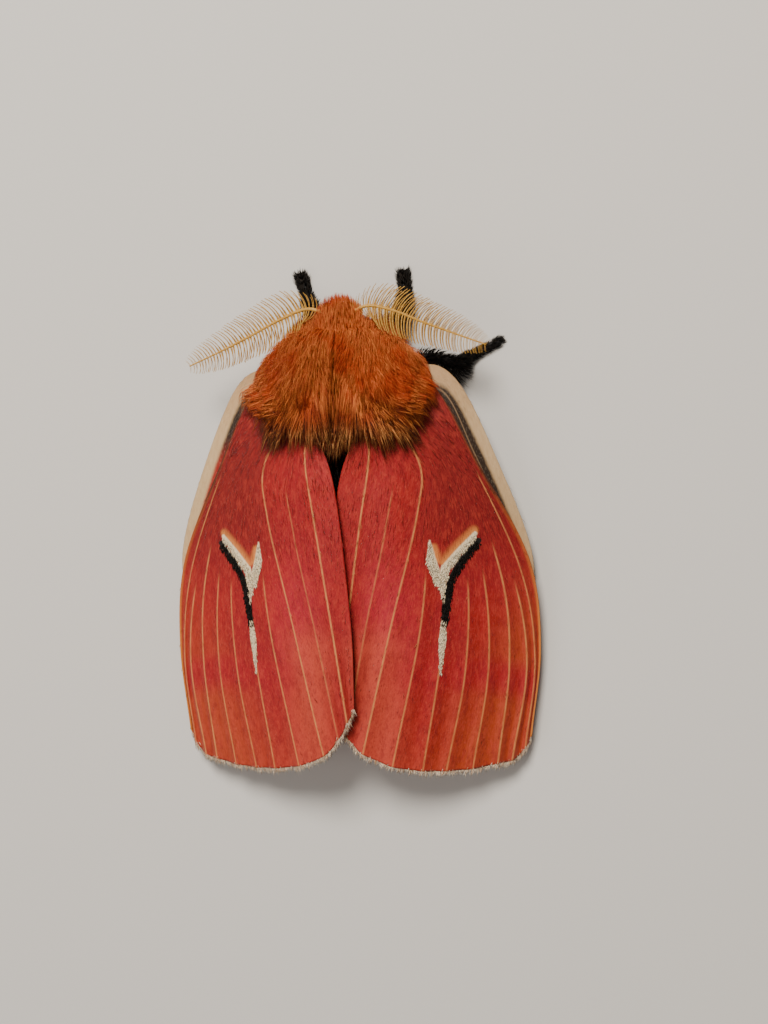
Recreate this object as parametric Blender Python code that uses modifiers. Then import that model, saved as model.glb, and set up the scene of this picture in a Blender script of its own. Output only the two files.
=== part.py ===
"""Life-size still model of a resting male moth, Cerodirphia mota, with its wings roofed over the body.

The moth stands on the floor plane z = 0 with its head towards +Y and +Z up. The origin is on the
floor, under the middle of its outline. Sizes are in millimetres, and MM turns them into metres.
"""

import math
import random

import bmesh
import bpy
from mathutils import Matrix, Vector

MM = 0.001
GAP = 0.3  # clear distance between neighbouring pieces

# Driving dimensions
RIDGE_TOP = 11.3  # height of the wings where they meet over the back
RIDGE_TOP_Y = 4.5
RIDGE_FALL = 0.085  # fall of the ridge for each millimetre away from its top, both ways
RIDGE_CREST = 6.0  # length over which the ridge's top is rounded
RIDGE_TILT = 0.015  # how much steeper it falls to the front than to the rear
ROOF_SLOPE = 0.55  # fall of the wings for each millimetre sideways
RIDGE_ROUNDING = 4.0
SHOULDER_SINK = 1.6  # how much lower the wings lie beside the thorax
SHOULDER_X = (12.0, 5.0)  # where this sink begins and is full, from the outside in
SHOULDER_Y = (6.0, 13.0)
WING_THICKNESS = 0.5
VEIN_RISE = 0.25
VEIN_FLANK = 0.28  # half the width of a vein's ridge, as a share of the space between veins
WING_OVERLAP_LIFT = 0.55  # the left wing rises and the right one sinks this much along the back
OVERLAP_X = (6.0, 2.0)  # where this lift begins and is full
OVERLAP_Y = (8.0, 3.0)
HINDWING_DROP = 1.15  # from the forewing's surface down to the hindwing's
THORAX_CENTRE = Vector((0.0, 11.8, 6.2))
THORAX_SIZE = Vector((5.4, 7.0, 4.2))  # half the width, length and height under the coat
NECK_Y = 16.9
WAIST_Y = 6.6
COAT_SIZE = Vector((9.2, 8.6, 7.6))  # half width, reach to the front and height of the coat's tips
COAT_CENTRE = Vector((0.0, 11.2, 6.4))
HEAD_CENTRE = Vector((0.0, 18.6, 7.2))
HEAD_SIZE = Vector((2.2, 2.3, 2.3))
EYE_FLAT_X = 1.8  # the flat side of the head that an eye sits on
EYE_RADIUS = 1.25
EYE_PLACE = (18.9, 7.0)  # along Y and up
ABDOMEN_TIP_Y = -12.6
ABDOMEN_HALF_WIDTH = 4.4
ABDOMEN_HALF_HEIGHT = 3.5
ABDOMEN_SEGMENTS = 8
TAIL_LOCKS = 9
ANTENNA_RADIUS = 0.3
RAMUS_LENGTH = 2.5  # longest side branch of the feather-like antenna
RAMUS_PAIRS = 14
RAMUS_RADII = (0.3, 0.24)  # at a branch's root and its middle, before its pointed tip
LEG_SIDES = 8
SOLE = 0.16  # points of a leg lower than this lie on the floor
LEG_LOCKS = 6
LOCK_THICKNESS = 0.55
LOCK_PROFILE = (0.8, 1.0, 0.7)  # width of a lock along its length, before its pointed tip
LOCK_ROOT_DEPTH = 0.6  # how far a lock's root is sunk in the body
COAT_LOCK_WIDTH = 1.9
COAT_OVER_WING = 1.2  # from the forewing's surface up to the middle of a lock
COAT_OVER_SHOULDER = -0.25  # the same in front of the wings
WING_FRONT_Y = 14.7
SEED = 11

AXIS_X = Vector((1, 0, 0))
AXIS_Y = Vector((0, 1, 0))
AXIS_Z = Vector((0, 0, 1))

COLOURS = {
    "orange_coat": ((0.62, 0.20, 0.04), 0.85),
    "red_scales": ((0.52, 0.07, 0.05), 0.75),
    "cream_scales": ((0.62, 0.50, 0.36), 0.75),
    "yellow_antenna": ((0.62, 0.42, 0.13), 0.6),
    "black_coat": ((0.02, 0.018, 0.015), 0.8),
    "eye": ((0.03, 0.015, 0.01), 0.15),
}

# Plan lines of a forewing after its root, from the inner margin out to the costal margin
FOREWING_LINES = {
    "inner_margin": [(1.6, 7.4), (0.0, 2.5), (-1.2, -10.0), (-1.3, -18.2)],
    "anal_vein": [(3.1, 6.3), (2.1, -0.4), (0.7, -10.0), (-0.6, -19.6)],
    "fold": [(5.3, 5.2), (4.4, -1.5), (2.4, -10.5), (0.3, -21.2)],
    "cubitus_2": [(7.6, 5.6), (7.4, 0.2), (4.7, -10.8), (1.8, -22.9)],
    "cubitus_1": [(8.4, 5.2), (8.3, -2.4), (7.4, -11.3), (4.6, -24.2)],
    "median_3": [(9.2, 4.8), (9.7, -4.0), (9.4, -13.0), (7.4, -24.8)],
    "median_2": [(10.0, 5.3), (11.9, -5.0), (11.6, -15.0), (9.6, -25.0)],
    "median_1": [(10.7, 5.3), (13.4, -5.2), (13.8, -14.8), (12.1, -25.0)],
    "radius_5": [(11.3, 5.4), (15.1, -5.5), (15.8, -14.5), (14.5, -24.7)],
    "radius_4": [(11.9, 5.5), (16.1, -5.2), (17.5, -14.6), (15.9, -24.5)],
    "subcosta": [(8.9, 12.4), (12.5, 5.5), (17.0, -5.1), (18.3, -14.2), (17.2, -23.4)],
    "costal_margin": [(8.9, 13.1), (13.2, 5.3), (17.9, -4.2), (18.9, -13.0), (17.9, -22.0)],
}
FOREWING_ROOT_Y = (9.3, 14.2)
FOREWING_ROWS = 13
# Share of a forewing line's length at which its vein begins to stand out
FOREWING_VEINS = {
    "anal_vein": 0.14, "cubitus_2": 0.14, "cubitus_1": 0.47, "median_3": 0.55, "median_2": 0.50,
    "median_1": 0.49, "radius_5": 0.50, "radius_4": 0.58, "subcosta": 0.1,
}
# Plan lines of a hindwing, whose costal edge shows in front of the forewing's
HINDWING_LINES = {
    "inner_margin": [(5.5, 3.0), (5.3, -4.6), (5.2, -12.0)],
    "anal_vein": [(6.6, 4.8), (7.1, -4.6), (7.0, -14.6)],
    "cubitus": [(8.0, 5.2), (9.1, -1.0), (9.8, -10.0), (9.8, -16.4)],
    "media": [(9.3, 6.4), (11.3, 0.4), (12.8, -9.0), (13.1, -16.2)],
    "radius": [(10.0, 9.6), (12.9, 2.6), (15.2, -6.4), (16.0, -14.4)],
    "subcosta": [(9.6, 12.6), (12.6, 6.6), (16.2, -2.6), (17.5, -11.4)],
    "costal_margin": [(8.3, 15.2), (11.6, 12.9), (15.5, 4.2), (18.0, -3.0), (18.3, -8.0)],
}
# The left hindwing is drawn a little further forward, so more of its costal edge shows
HINDWING_LINES_LEFT = {
    **HINDWING_LINES,
    "costal_margin": [(8.3, 15.2), (11.8, 13.1), (16.0, 4.4), (18.5, -2.8), (18.5, -8.0)],
}
HINDWING_ROOT_Y = (8.9, 12.6)
HINDWING_ROWS = 12
HINDWING_VEINS = {"anal_vein": 0.1, "cubitus": 0.1, "media": 0.1, "radius": 0.1, "subcosta": 0.1}

# Rows of the thorax's coat from the neck back: where its roots and tips lie along Y, how far
# round from the top they spread in degrees, and how many locks there are on each side
COAT_ROWS = [
    (16.4, 16.8, 44, 52, 4),
    (16.3, 15.4, 82, 80, 6),
    (15.2, 13.4, 56, 78, 7),
    (13.8, 11.5, 46, 79, 7),
    (12.2, 9.7, 46, 77, 8),
    (10.6, 8.0, 44, 72, 7),
    (9.4, 6.3, 16, 64, 5),
]
# Rings of the head's coat: elevation, spread to each side of straight ahead, and number of locks
HEAD_ROWS = [(78, 90, 3), (48, 105, 8), (18, 60, 6), (-12, 48, 5), (-42, 60, 4)]

# Each leg's root in plan, then its knee, the end of its tibia, and the two ends of its foot
LEGS = {
    "foreleg_left": (
        (-1.9, 14.6),
        [(-3.5, 18.4, 3.2), (-4.3, 21.6, 1.7), (-4.9, 23.2, 0.5), (-5.6, 25.4, 0.4)],
    ),
    "foreleg_right": (
        (1.9, 14.6),
        [(3.9, 18.4, 3.2), (5.3, 21.6, 1.7), (5.4, 23.2, 0.5), (5.2, 25.3, 0.4)],
    ),
    "midleg_left": (
        (-3.3, 12.2),
        [(-7.2, 13.0, 3.2), (-9.6, 11.2, 1.6), (-10.4, 9.9, 0.5), (-11.4, 7.4, 0.4)],
    ),
    "midleg_right": (
        (3.3, 12.4),
        [(7.4, 16.0, 3.1), (10.8, 15.7, 1.7), (12.2, 16.6, 0.5), (15.4, 18.2, 0.4)],
    ),
    "hindleg_left": (
        (-3.0, 9.2),
        [(-6.3, 6.6, 3.4), (-8.0, 2.0, 1.7), (-8.5, 0.4, 0.5), (-9.3, -2.8, 0.4)],
    ),
    "hindleg_right": (
        (3.0, 9.2),
        [(6.3, 6.6, 3.4), (8.0, 2.0, 1.7), (8.5, 0.4, 0.5), (9.3, -2.8, 0.4)],
    ),
}
LEG_RADII = [0.7, 0.75, 0.75, 0.62, 0.5, 0.42]

# Each antenna's course in plan and height after its root
ANTENNAE = {
    "antenna_left": [
        (-3.2, 20.6, 9.1), (-6.0, 19.7, 8.7), (-9.0, 18.4, 8.1), (-12.4, 17.0, 7.5), (-15.8, 15.7, 7.0),
    ],
    "antenna_right": [
        (3.1, 20.7, 9.1), (5.6, 20.1, 8.8), (7.8, 19.2, 8.2), (11.0, 18.0, 7.5), (14.2, 16.8, 7.0),
    ],
}
ANTENNA_ROOT = Vector((0.5, 0.55, 0.67))


# Curves and values

def smoothstep(low, high, value):
    share = min(max((value - low) / (high - low), 0.0), 1.0)
    return share * share * (3.0 - 2.0 * share)


def spline(points, place):
    """Catmull-Rom curve through the points, where place runs from 0 to their number less one."""
    first = min(int(place), len(points) - 2)
    t = place - first
    start, end = Vector(points[first]), Vector(points[first + 1])
    before = Vector(points[max(first - 1, 0)])
    after = Vector(points[min(first + 2, len(points) - 1)])
    bend = 2 * before - 5 * start + 4 * end - after
    twist = 3 * start - before - 3 * end + after
    return 0.5 * (2 * start + (end - before) * t + bend * t**2 + twist * t**3)


def even_points(points, count):
    """Points at even distances along the spline, ends included."""
    steps = 40 * (len(points) - 1)
    fine = [spline(points, (len(points) - 1) * i / steps) for i in range(steps + 1)]
    lengths = [0.0]
    for near, far in zip(fine, fine[1:]):
        lengths.append(lengths[-1] + (far - near).length)
    chosen = []
    i = 0
    for k in range(count):
        target = lengths[-1] * k / (count - 1)
        while i < steps - 1 and lengths[i + 1] < target:
            i += 1
        share = (target - lengths[i]) / (lengths[i + 1] - lengths[i])
        chosen.append(fine[i].lerp(fine[i + 1], min(max(share, 0.0), 1.0)))
    return chosen


# Meshes and objects

def clear_scene():
    for obj in list(bpy.data.objects):
        bpy.data.objects.remove(obj, do_unlink=True)


def make_material(name):
    colour, roughness = COLOURS[name]
    material = bpy.data.materials.new(name)
    material.use_nodes = True
    shader = material.node_tree.nodes["Principled BSDF"]
    shader.inputs["Base Color"].default_value = (*colour, 1.0)
    shader.inputs["Roughness"].default_value = roughness
    shader.inputs["Metallic"].default_value = 0.0
    return material


def add_object(name, bm, material, collection):
    """Turns a mesh into a named object, still in millimetres."""
    bmesh.ops.recalc_face_normals(bm, faces=bm.faces)
    mesh = bpy.data.meshes.new(name)
    bm.to_mesh(mesh)
    bm.free()
    mesh.materials.append(material)
    mesh.shade_smooth()
    mesh.set_sharp_from_angle(angle=math.radians(50))
    obj = bpy.data.objects.new(name, mesh)
    collection.objects.link(obj)
    return obj


def ring(centre, along, across, half_width, half_height, sides):
    """An ellipse of points round centre, square to along, with its width towards across."""
    along = along.normalized()
    across = (across - across.dot(along) * along).normalized()
    lift = across.cross(along)
    turns = [math.tau * (i + 0.5) / sides for i in range(sides)]
    return [
        centre + across * (half_width * math.cos(turn)) + lift * (half_height * math.sin(turn))
        for turn in turns
    ]


def loft(rings, tip=None):
    """A closed body skinned over rings of points, ending flat or, with tip, in a point."""
    bm = bmesh.new()
    loops = [[bm.verts.new(point) for point in points] for points in rings]
    sides = len(rings[0])
    for near, far in zip(loops, loops[1:]):
        for i in range(sides):
            bm.faces.new((near[i], near[(i + 1) % sides], far[(i + 1) % sides], far[i]))
    bm.faces.new(loops[0])
    if tip is None:
        bm.faces.new(loops[-1])
    else:
        end = bm.verts.new(tip)
        for i in range(sides):
            bm.faces.new((loops[-1][i], loops[-1][(i + 1) % sides], end))
    return bm


def on_ellipsoid(centre, size, direction, clearance=0.0):
    """The point of an ellipsoid in this direction from its centre, and the outward normal there."""
    reach = 1.0 / math.sqrt(sum((direction[i] / size[i]) ** 2 for i in range(3)))
    point = centre + direction * reach
    normal = Vector([direction[i] / size[i] ** 2 for i in range(3)]).normalized()
    return point + normal * clearance, normal


# The roof that the wings make

def roof_height(x, y):
    """Height of the forewings' surface: a rounded ridge that sinks beside the thorax."""
    back = y - RIDGE_TOP_Y
    ridge = RIDGE_TOP - RIDGE_FALL * (math.hypot(back, RIDGE_CREST) - RIDGE_CREST) - RIDGE_TILT * back
    sink = SHOULDER_SINK * smoothstep(*SHOULDER_Y, y) * smoothstep(*SHOULDER_X, abs(x))
    return ridge - sink - ROOF_SLOPE * (math.hypot(x, RIDGE_ROUNDING) - RIDGE_ROUNDING)


def wing_height(x, y, side):
    """The roof, with the left wing lifted over the right one along the back."""
    lift = WING_OVERLAP_LIFT * smoothstep(*OVERLAP_X, abs(x)) * smoothstep(*OVERLAP_Y, y)
    return roof_height(x, y) - side * lift


def wing_root(y, drop):
    """Where a wing's surface meets the side of the thorax, less the gap, at this y."""
    size = THORAX_SIZE + Vector((1, 1, 1)) * (GAP + WING_THICKNESS / 2)
    x = THORAX_SIZE.x / 2
    step = 0.01
    while True:
        away = Vector((x, y, roof_height(x, y) - drop)) - THORAX_CENTRE
        if sum((away[i] / size[i]) ** 2 for i in range(3)) >= 1.0:
            return (x, y)
        x += step


def add_wing(name, lines, veins, root_y, rows, drop, material, collection):
    """A wing as one membrane of even thickness, with a crest of grid points along each vein."""
    side = -1 if name.endswith("left") else 1
    last = len(lines) - 1
    table = []
    for k, points in enumerate(lines.values()):
        root = wing_root(root_y[0] + (root_y[1] - root_y[0]) * k / last, drop)
        table.append(even_points([root, *points], rows))
    columns = [(0.0, None)]
    for k, vein in enumerate(list(lines)[1:-1], start=1):
        if vein in veins:
            columns += [(k - VEIN_FLANK, None), (k, vein), (k + VEIN_FLANK, None)]
        else:
            columns.append((k, None))
    columns.append((last, None))
    bm = bmesh.new()
    bmesh.ops.create_grid(bm, x_segments=len(columns) - 1, y_segments=rows - 1, size=1.0)
    bm.verts.ensure_lookup_table()
    for j in range(rows):
        share = j / (rows - 1)
        row_points = [line[j] for line in table]
        for i, (place, vein) in enumerate(columns):
            x, y = spline(row_points, place)
            z = wing_height(x, y, side) - drop
            if vein:
                z += VEIN_RISE * smoothstep(veins[vein], veins[vein] + 0.12, share)
            bm.verts[j * len(columns) + i].co = (side * x, y, z)
    bmesh.ops.triangulate(bm, faces=bm.faces)
    obj = add_object(name, bm, material, collection)
    if sum(face.normal.z for face in obj.data.polygons) < 0:
        obj.data.flip_normals()
    membrane = obj.modifiers.new("membrane", "SOLIDIFY")
    membrane.thickness = WING_THICKNESS * MM
    membrane.offset = 0.0
    return obj


# Body

def body_rings(centre, size, start_y, end_y, count, sides):
    """Rings of an ellipsoid between two planes across Y."""
    rings = []
    for i in range(count):
        y = start_y + (end_y - start_y) * i / (count - 1)
        scale = math.sqrt(max(1.0 - ((y - centre.y) / size.y) ** 2, 0.0))
        place = Vector((centre.x, y, centre.z))
        rings.append(ring(place, AXIS_Y, AXIS_X, size.x * scale, size.z * scale, sides))
    return rings


def keep_largest_surface(obj):
    """Drops every closed surface of a mesh but the largest one."""
    bm = bmesh.new()
    bm.from_mesh(obj.data)
    left = set(bm.faces)
    surfaces = []
    while left:
        stack = [left.pop()]
        surface = list(stack)
        while stack:
            for edge in stack.pop().edges:
                for face in edge.link_faces:
                    if face in left:
                        left.remove(face)
                        stack.append(face)
                        surface.append(face)
        surfaces.append(surface)
    largest = max(surfaces, key=lambda surface: sum(face.calc_area() for face in surface))
    scraps = [face for surface in surfaces if surface is not largest for face in surface]
    bmesh.ops.delete(bm, geom=scraps, context="FACES")
    bmesh.ops.triangulate(bm, faces=bm.faces)
    bm.to_mesh(obj.data)
    bm.free()


def fuse(obj, pieces):
    """Joins the pieces, a collection of closed meshes, to the object as one closed body."""
    union = obj.modifiers.new("union", "BOOLEAN")
    union.operation = "UNION"
    union.operand_type = "COLLECTION"
    union.collection = pieces
    evaluated = obj.evaluated_get(bpy.context.evaluated_depsgraph_get())
    joined = bpy.data.meshes.new_from_object(evaluated)
    obj.modifiers.remove(union)
    obj.data = joined
    for piece in list(pieces.objects):
        bpy.data.objects.remove(piece, do_unlink=True)
    bpy.data.collections.remove(pieces)
    keep_largest_surface(obj)


def new_pieces(name):
    """A collection for the pieces that one body is fused from."""
    pieces = bpy.data.collections.new(name)
    bpy.context.scene.collection.children.link(pieces)
    return pieces


def add_lock(path, width, across, material, pieces):
    """A flat lock of hair along the path, widest before its middle and pointed at its end."""
    rings = []
    corner = math.sqrt(2.0) / 2.0
    for i, point in enumerate(path[:-1]):
        along = path[i + 1] - path[max(i - 1, 0)]
        half_width = width * LOCK_PROFILE[i] * corner
        rings.append(ring(point, along, across, half_width, LOCK_THICKNESS * corner, 4))
    add_object("lock", loft(rings, path[-1]), material, pieces)


def bent_path(root, bend, tip, count):
    """Points along the curve that leaves root towards bend and ends at tip."""
    shares = [i / (count - 1) for i in range(count)]
    return [root * (1 - s) ** 2 + bend * (2 * s * (1 - s)) + tip * s**2 for s in shares]


def coat_tip(y, turn):
    """Where a lock's tip lies, at this y and turned this far round from the top."""
    reach = COAT_SIZE.y if y > COAT_CENTRE.y else COAT_SIZE.y * 0.9
    scale = math.sqrt(1.0 - ((y - COAT_CENTRE.y) / reach) ** 2)
    parting = 1.0 - 0.12 * math.exp(-((turn / 0.2) ** 2))
    x = COAT_SIZE.x * scale * math.sin(turn)
    return Vector((x, y, COAT_CENTRE.z + COAT_SIZE.z * scale * math.cos(turn) * parting))


def lifted_off_wings(point):
    """The point, raised where it would come too near to a wing."""
    over = COAT_OVER_WING if point.y < WING_FRONT_Y else COAT_OVER_SHOULDER
    return Vector((point.x, point.y, max(point.z, roof_height(point.x, point.y) + over)))


def add_thorax(material, collection, rng):
    core = add_object("thorax", loft(body_rings(THORAX_CENTRE, THORAX_SIZE, WAIST_Y, NECK_Y, 10, 20)),
                      material, collection)
    pieces = new_pieces("thorax_coat")
    for row, (root_y, tip_y, root_spread, tip_spread, count) in enumerate(COAT_ROWS):
        for side in (-1, 1):
            for i in range(count):
                share = (i + (0.3 if row % 2 else 0.75)) / count
                turn = math.radians(root_spread) * share
                tip_turn = math.radians(tip_spread) * share + rng.uniform(-0.03, 0.03)
                scale = math.sqrt(1.0 - ((root_y - THORAX_CENTRE.y) / THORAX_SIZE.y) ** 2)
                away = Vector((side * THORAX_SIZE.x * scale * math.sin(turn), root_y - THORAX_CENTRE.y,
                               THORAX_SIZE.z * scale * math.cos(turn)))
                surface, normal = on_ellipsoid(THORAX_CENTRE, THORAX_SIZE, away)
                tip = coat_tip(tip_y + rng.uniform(-0.45, 0.45), tip_turn)
                tip.x *= side
                bend = surface + normal * (0.5 * (tip - surface).length)
                path = bent_path(surface - normal * LOCK_ROOT_DEPTH, bend, tip, 4)
                path = path[:1] + [lifted_off_wings(point) for point in path[1:]]
                width = COAT_LOCK_WIDTH * rng.uniform(0.85, 1.1)
                add_lock(path, width, (tip - surface).cross(normal), material, pieces)
    fuse(core, pieces)
    return core


def add_head(material, collection, rng):
    start = NECK_Y + GAP
    front = HEAD_CENTRE.y + HEAD_SIZE.y
    rings = body_rings(HEAD_CENTRE, HEAD_SIZE, start, front - 0.12, 7, 16)
    for points in rings:
        for point in points:
            point.x = min(max(point.x, -EYE_FLAT_X), EYE_FLAT_X)
    core = add_object("head", loft(rings, Vector((0, front, HEAD_CENTRE.z))), material, collection)
    pieces = new_pieces("head_coat")
    mirrored_root = Vector((-ANTENNA_ROOT.x, ANTENNA_ROOT.y, ANTENNA_ROOT.z))
    keep_off = [ANTENNA_ROOT.normalized(), mirrored_root.normalized()]
    near_antenna = math.cos(math.radians(27))
    for elevation, spread, count in HEAD_ROWS:
        for i in range(count):
            heading = math.radians(spread * (2 * (i + 0.5) / count - 1) + rng.uniform(-4, 4))
            lift = math.radians(elevation + rng.uniform(-4, 4))
            level = Vector((math.sin(heading), math.cos(heading), 0))
            away = level * math.cos(lift) + AXIS_Z * math.sin(lift)
            if max(away.dot(axis) for axis in keep_off) > near_antenna:
                continue
            surface, normal = on_ellipsoid(HEAD_CENTRE, HEAD_SIZE, away)
            tip = surface + normal * rng.uniform(1.0, 1.4) + AXIS_Y * (0.5 if elevation > 0 else 0.1)
            path = bent_path(surface - normal * LOCK_ROOT_DEPTH, surface + normal * 0.7, tip, 4)
            add_lock(path, 1.1, away.cross(AXIS_Z), material, pieces)
    fuse(core, pieces)
    return core


def add_eye(name, material, collection):
    side = -1 if name.endswith("left") else 1
    base_turn = math.radians(82)
    middle = Vector((side * (EYE_FLAT_X + GAP - EYE_RADIUS * math.cos(base_turn)), *EYE_PLACE))
    rings = []
    for i in range(4):
        turn = base_turn - math.radians(24) * i
        centre = middle + AXIS_X * (side * EYE_RADIUS * math.cos(turn))
        radius = EYE_RADIUS * math.sin(turn)
        rings.append(ring(centre, AXIS_X, AXIS_Y, radius, radius, 12))
    return add_object(name, loft(rings, middle + AXIS_X * (side * EYE_RADIUS)), material, collection)


def add_abdomen(material, collection, rng):
    start = WAIST_Y - GAP
    count = 2 * ABDOMEN_SEGMENTS + 1
    rings = []
    for i in range(count):
        share = i / count
        y = start + (ABDOMEN_TIP_Y - start) * share
        swell = (0.74 + 0.26 * smoothstep(0.0, 0.25, share)) * math.sqrt(1.0 - share**3.2)
        swell *= 0.94 if i % 2 == 0 and i else 1.0
        centre = Vector((0, y, 5.9 - 0.9 * smoothstep(0.0, 0.4, share) - 0.4 * share))
        half_width, half_height = ABDOMEN_HALF_WIDTH * swell, ABDOMEN_HALF_HEIGHT * swell
        rings.append(ring(centre, AXIS_Y, AXIS_X, half_width, half_height, 14))
    tip = Vector((0, ABDOMEN_TIP_Y, 4.5))
    core = add_object("abdomen", loft(rings, tip), material, collection)
    pieces = new_pieces("abdomen_tuft")
    for i in range(TAIL_LOCKS):
        turn = math.tau * (i + 0.5) / TAIL_LOCKS
        away = Vector((math.cos(turn), 0, 0.8 * math.sin(turn)))
        root = Vector((0, ABDOMEN_TIP_Y + 1.6, 4.6)) + away * 0.9
        end = root + away * 0.9 - AXIS_Y * rng.uniform(3.0, 3.8)
        path = bent_path(root, root + away - AXIS_Y * 1.2, end, 4)
        add_lock(path, 1.2, away.cross(AXIS_Y), material, pieces)
    fuse(core, pieces)
    return core


def ramus_length(share):
    """Length of the side branches at this share of the antenna's length."""
    return RAMUS_LENGTH * (0.25 + 0.75 * smoothstep(0.08, 0.35, share)) * math.sqrt(1.0 - 0.9 * share**2)


def add_antenna(name, course, material, collection):
    side = -1 if name.endswith("left") else 1
    outward = Vector((side * ANTENNA_ROOT.x, ANTENNA_ROOT.y, ANTENNA_ROOT.z))
    root, normal = on_ellipsoid(HEAD_CENTRE, HEAD_SIZE, outward, GAP)
    axis = even_points([root, root + normal * 0.5, *[Vector(point) for point in course]], 14)
    rings = []
    for i, point in enumerate(axis[:-1]):
        along = normal if i == 0 else axis[i + 1] - axis[i - 1]
        radius = ANTENNA_RADIUS * (1.15 - 0.4 * i / len(axis))
        rings.append(ring(point, along, Vector((0, -1, 0)), radius, radius, 6))
    core = add_object(name, loft(rings, axis[-1]), material, collection)
    pieces = new_pieces(name + "_rami")
    for i in range(RAMUS_PAIRS):
        share = 0.13 + 0.76 * i / (RAMUS_PAIRS - 1)
        place = share * (len(axis) - 1)
        start = spline(axis, place)
        along = (spline(axis, place + 0.2) - spline(axis, place - 0.2)).normalized()
        level = along.cross(AXIS_Z).normalized()
        length = ramus_length(share)
        for across in (level, -level):
            bend = start + across * (0.62 * length) + along * (0.05 * length) + AXIS_Z * (0.1 * length)
            tip = start + across * length + along * (0.42 * length) + AXIS_Z * (0.12 * length)
            path = bent_path(start, bend, tip, 3)
            branch = [ring(p, q - p, along, r, r, 4) for p, q, r in zip(path, path[1:], RAMUS_RADII)]
            add_object("ramus", loft(branch, tip), material, pieces)
    fuse(core, pieces)
    return core


def add_leg(name, root_plan, course, material, collection, rng):
    """A leg from the underside of the thorax to a foot that lies flat on the floor."""
    x, y = root_plan
    away_x = (x - THORAX_CENTRE.x) / THORAX_SIZE.x
    away_y = (y - THORAX_CENTRE.y) / THORAX_SIZE.y
    depth = THORAX_SIZE.z * math.sqrt(1 - away_x**2 - away_y**2)
    below = Vector((x - THORAX_CENTRE.x, y - THORAX_CENTRE.y, -depth))
    root, normal = on_ellipsoid(THORAX_CENTRE, THORAX_SIZE, below, GAP)
    knee = Vector(course[0])
    hip = root + normal * 0.5 + (knee - root).normalized() * 0.6
    points = [root, hip, *[Vector(point) for point in course]]
    toe = points[-1]
    across = Vector((toe.y - root.y, root.x - toe.x, 0))
    rings = []
    last = len(points) - 1
    for place in [0.0] + [1.0 + 0.5 * i for i in range(2 * last - 1)]:
        centre = spline(points, place)
        ahead = spline(points, min(place + 0.05, last))
        behind = spline(points, max(place - 0.05, 0))
        along = normal if place == 0.0 else ahead - behind
        low = min(int(place), last - 1)
        radius = LEG_RADII[low] + (LEG_RADII[low + 1] - LEG_RADII[low]) * (place - low)
        rings.append(ring(centre, along, across, radius, radius, LEG_SIDES))
    for points_round in rings:
        for point in points_round:
            if point.z < SOLE:
                point.z = 0.0
    core = add_object(name, loft(rings), material, collection)
    pieces = new_pieces(name + "_hair")
    first, last_place = 2.0, 3.1
    for i in range(LEG_LOCKS):
        place = first + (last_place - first) * i / (LEG_LOCKS - 1)
        centre = spline(points, place)
        along = (spline(points, place + 0.1) - spline(points, place - 0.1)).normalized()
        sideways = (across - across.dot(along) * along).normalized() * (-1 if i % 2 else 1)
        upward = 0.5 * (sideways.cross(along) if sideways.cross(along).z > 0 else along.cross(sideways))
        away = (sideways + upward).normalized()
        hair = rng.uniform(0.4, 0.65)
        tip = centre + away * (0.6 + hair) + along * (1.5 + hair)
        bend = centre + away * (0.75 + hair) + along * 0.6
        add_lock(bent_path(centre + away * 0.2, bend, tip, 4), 0.9, along.cross(away), material, pieces)
    fuse(core, pieces)
    return core


def into_metres(collection):
    for obj in collection.objects:
        obj.data.transform(Matrix.Scale(MM, 4))


def main():
    clear_scene()
    moth = bpy.data.collections.new("cerodirphia_mota")
    bpy.context.scene.collection.children.link(moth)
    materials = {name: make_material(name) for name in COLOURS}
    rng = random.Random(SEED)
    add_thorax(materials["orange_coat"], moth, rng)
    add_head(materials["orange_coat"], moth, rng)
    add_abdomen(materials["black_coat"], moth, rng)
    for side, hindwing_lines in (("left", HINDWING_LINES_LEFT), ("right", HINDWING_LINES)):
        add_eye(f"eye_{side}", materials["eye"], moth)
        add_wing(f"forewing_{side}", FOREWING_LINES, FOREWING_VEINS, FOREWING_ROOT_Y, FOREWING_ROWS, 0.0,
                 materials["red_scales"], moth)
        add_wing(f"hindwing_{side}", hindwing_lines, HINDWING_VEINS, HINDWING_ROOT_Y, HINDWING_ROWS,
                 HINDWING_DROP, materials["cream_scales"], moth)
    for name, course in ANTENNAE.items():
        add_antenna(name, course, materials["yellow_antenna"], moth)
    for name, (root, course) in LEGS.items():
        add_leg(name, root, course, materials["black_coat"], moth, rng)
    into_metres(moth)


main()
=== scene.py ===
"""A life-size model of a red moth at rest, its wings held like a roof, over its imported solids."""
import math

import bmesh
import bpy
import numpy as np
from mathutils import Matrix, Vector


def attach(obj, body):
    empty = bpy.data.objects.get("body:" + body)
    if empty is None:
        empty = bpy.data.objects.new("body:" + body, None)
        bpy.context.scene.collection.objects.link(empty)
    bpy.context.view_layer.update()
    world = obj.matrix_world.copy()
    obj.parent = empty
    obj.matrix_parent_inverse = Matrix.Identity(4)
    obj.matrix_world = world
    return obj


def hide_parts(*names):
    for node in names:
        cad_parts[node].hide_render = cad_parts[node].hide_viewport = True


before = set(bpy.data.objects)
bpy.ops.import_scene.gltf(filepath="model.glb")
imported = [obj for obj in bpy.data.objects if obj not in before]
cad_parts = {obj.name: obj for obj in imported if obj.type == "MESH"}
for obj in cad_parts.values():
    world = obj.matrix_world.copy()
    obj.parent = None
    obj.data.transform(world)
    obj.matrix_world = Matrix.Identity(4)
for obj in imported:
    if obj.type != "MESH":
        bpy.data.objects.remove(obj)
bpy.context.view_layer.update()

draw = np.random.default_rng(7)
MM = 0.001
SIDES = {"left": -1, "right": 1}

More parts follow.
